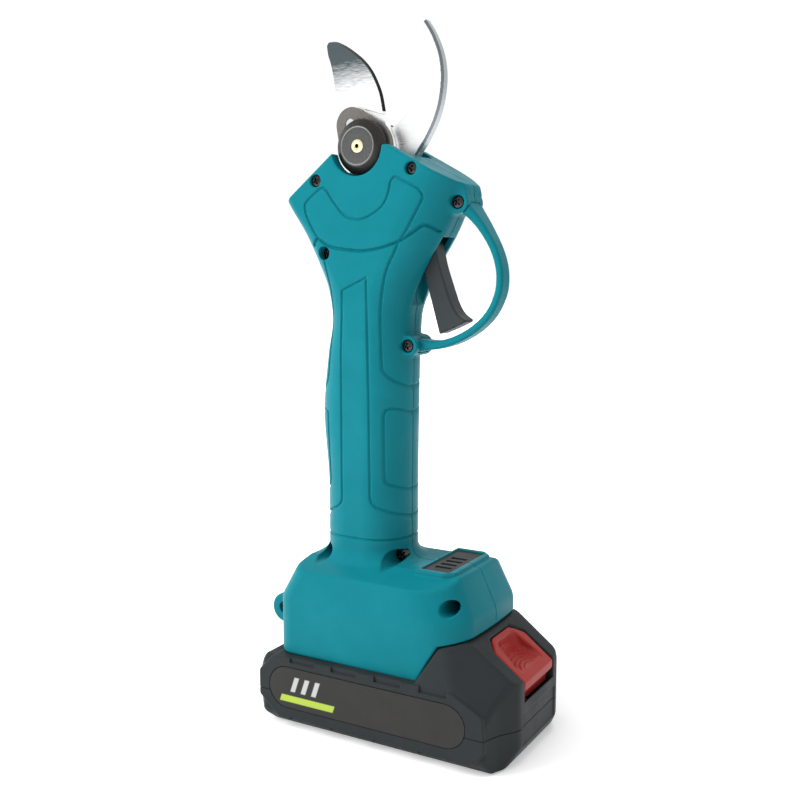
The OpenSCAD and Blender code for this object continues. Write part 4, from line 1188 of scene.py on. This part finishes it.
def faces_right(mesh):
    """Marks the faces that look towards the tool's right side."""
    flat = np.empty(len(mesh.polygons) * 3, np.float32)
    mesh.polygons.foreach_get("normal", flat)
    return flat.reshape(-1, 3)[:, 1] > 0.5


def paint(mesh, faces, index):
    slots = np.zeros(len(mesh.polygons), np.int32)
    mesh.polygons.foreach_get("material_index", slots)
    slots[faces] = index
    mesh.polygons.foreach_set("material_index", slots)


NUT_TOP = -corner_box("pivot_nut")[0][1]
NUT_PROFILE = [(0, -10.6), (0, -13.9), (3, -13.9), (3, -NUT_TOP + 0.2), (3.2, -NUT_TOP),
               (7.5, -NUT_TOP), (7.65, -NUT_TOP + 0.15), (7.95, -NUT_TOP + 0.15), (8.1, -NUT_TOP),
               (8.3, -NUT_TOP), (11.2, 2.4 - NUT_TOP), (11.6, 3.2 - NUT_TOP), (11.6, -10.6)]
NIPPLE_PROFILE = [(0, -13.95), (0, -14.6), (0.7, -14.7), (0.9, -16.6), (1.9, -16.8), (2.5, -16.7),
                  (2.9, -16.3), (2.9, -13.95)]


def from_axis(centres):
    """Distance of each face centre from the line of the main bolt."""
    return np.hypot(centres[:, 0] - PIVOT[0], centres[:, 2] - PIVOT[1])


def build_turned():
    centre = (PIVOT[0], 0, PIVOT[1])
    nut = turned_piece("pivot_nut_turned", NUT_PROFILE, centre, 0.15)
    finish_piece(nut, "handle", "dark_steel", "pivot_nut")
    face = dark_metal("nut_face", (0.085, 0.086, 0.086), 0.42, 0.85, (0.5, 0.5, 0.48))
    # the thin ring groove on the nut's face is painted light: a painted highlight along its chamfer
    ring = plain_metal("nut_ring_painted_highlight", (0.3, 0.3, 0.29), 0.3)
    nut.data.materials.append(face.material)
    nut.data.materials.append(ring.material)
    centres = face_centres(nut.data)
    radius = from_axis(centres)
    raised = centres[:, 1] < 0.4 - NUT_TOP
    paint(nut.data, raised & (radius < 8.35), 1)
    # painted highlight: the faces of the ring groove take the light ring colour
    paint(nut.data, raised & (radius > 7.6) & (radius < 8.0), 2)
    nipple = turned_piece("grease_nipple_turned", NIPPLE_PROFILE, centre, 0.12)
    finish_piece(nipple, "handle", "brass", "grease_nipple")
    # painted shade: the faces inside the nipple's central hole are painted black
    nipple.data.materials.append(SURFACES["screw_black"])
    paint(nipple.data, from_axis(face_centres(nipple.data)) < 0.85, 1)


def build_screws():
    spots = [((x, seat, z), recess - 0.3, 8 - seat, 0.4 + index)
             for index, (x, z, seat, recess) in enumerate(SCREWS)]
    finish_piece(screw_set("shell_screws_turned", "shell_screws", spots), "handle", "screw_black")
    base = [((x, y, 2), 2.4, 1.5, 0.5 * x) for x, y in BASE_SCREWS]
    finish_piece(screw_set("battery_screws_turned", "battery_screws", base, True), "battery", "screw_black")


def dress_cad_nodes():
    """Every CAD node that stays takes its own slot's finish."""
    for name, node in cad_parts.items():
        if node.hide_render:
            continue
        for index, material in enumerate(node.data.materials):
            key = material.name.split(".")[0]
            key = {"sector_gear": "sintered_steel", "head_frame": "cast_dark"}.get(name, key)
            if key in SURFACES:
                node.data.materials[index] = SURFACES[key]


def floor_white():
    """Matt white paper with a painted glow, seen by all but diffuse rays, that grows away from the object
    until the floor meets the background's white.
    """
    s = Surface("floor_white", (0.93, 0.93, 0.93), 0.9)
    s.set("Specular IOR Level", 0.1)
    s.set("Emission Color", (1, 1, 1, 1))
    distance = s.add("ShaderNodeVectorMath", operation="LENGTH")
    s.link(s.where, distance.inputs[0])
    path = s.add("ShaderNodeLightPath")
    seen = s.remap(path.outputs["Is Diffuse Ray"], 0, 1, 1, 0)
    glow = s.add("ShaderNodeMath", operation="MULTIPLY")
    s.link(s.remap(distance.outputs["Value"], 0.08, 0.4, 0.35, 1.1), glow.inputs[0])
    s.link(seen, glow.inputs[1])
    s.link(glow.outputs["Value"], s.shader.inputs["Emission Strength"])
    return s.material


def build_stage():
    mesh = bpy.data.meshes.new("floor")
    mesh.from_pydata([(-6, -6, 0), (6, -6, 0), (6, 6, 0), (-6, 6, 0)], [], [(0, 1, 2, 3)])
    floor = bpy.data.objects.new("floor", mesh)
    bpy.context.scene.collection.objects.link(floor)
    floor.data.materials.append(floor_white())


def aim(thing, place, at):
    thing.location = place
    thing.rotation_mode = "QUATERNION"
    thing.rotation_quaternion = (Vector(at) - Vector(place)).to_track_quat("-Z", "Y")
    bpy.context.scene.collection.objects.link(thing)


def softbox(name, place, size, power):
    light = bpy.data.objects.new(name, bpy.data.lights.new(name, "AREA"))
    light.visible_glossy = False
    light.data.energy = power
    light.data.shape = "RECTANGLE"
    light.data.size, light.data.size_y = size
    aim(light, place, (0, 0, 0.15))


def build_studio():
    scene = bpy.context.scene
    scene.view_settings.view_transform = "Standard"
    scene.world = bpy.data.worlds.new("studio")
    scene.world.use_nodes = True
    tree = scene.world.node_tree
    sky = tree.nodes["Background"]
    sky.inputs["Color"].default_value = (1, 1, 1, 1)
    path = tree.nodes.new("ShaderNodeLightPath")
    strength = tree.nodes.new("ShaderNodeMapRange")
    strength.inputs["To Min"].default_value = 1.05
    strength.inputs["To Max"].default_value = 0.5
    tree.links.new(path.outputs["Is Diffuse Ray"], strength.inputs["Value"])
    tree.links.new(strength.outputs["Result"], sky.inputs["Strength"])
    softbox("key_left", (-0.75, -0.7, 0.65), (0.7, 0.9), 14)
    softbox("top", (0.1, -0.1, 1.1), (0.8, 0.8), 4)
    camera = bpy.data.objects.new("camera", bpy.data.cameras.new("camera"))
    camera.data.lens = 46.2
    camera.data.clip_start = 0.01
    place = Vector((0.2376, -0.3896, 0.2028))
    aim(camera, place, place + Vector((-0.4946, 0.8598, -0.1267)))
    scene.camera = camera


build_mouldings()
build_blades()
build_turned()
build_screws()
dress_cad_nodes()
build_stage()
build_studio()
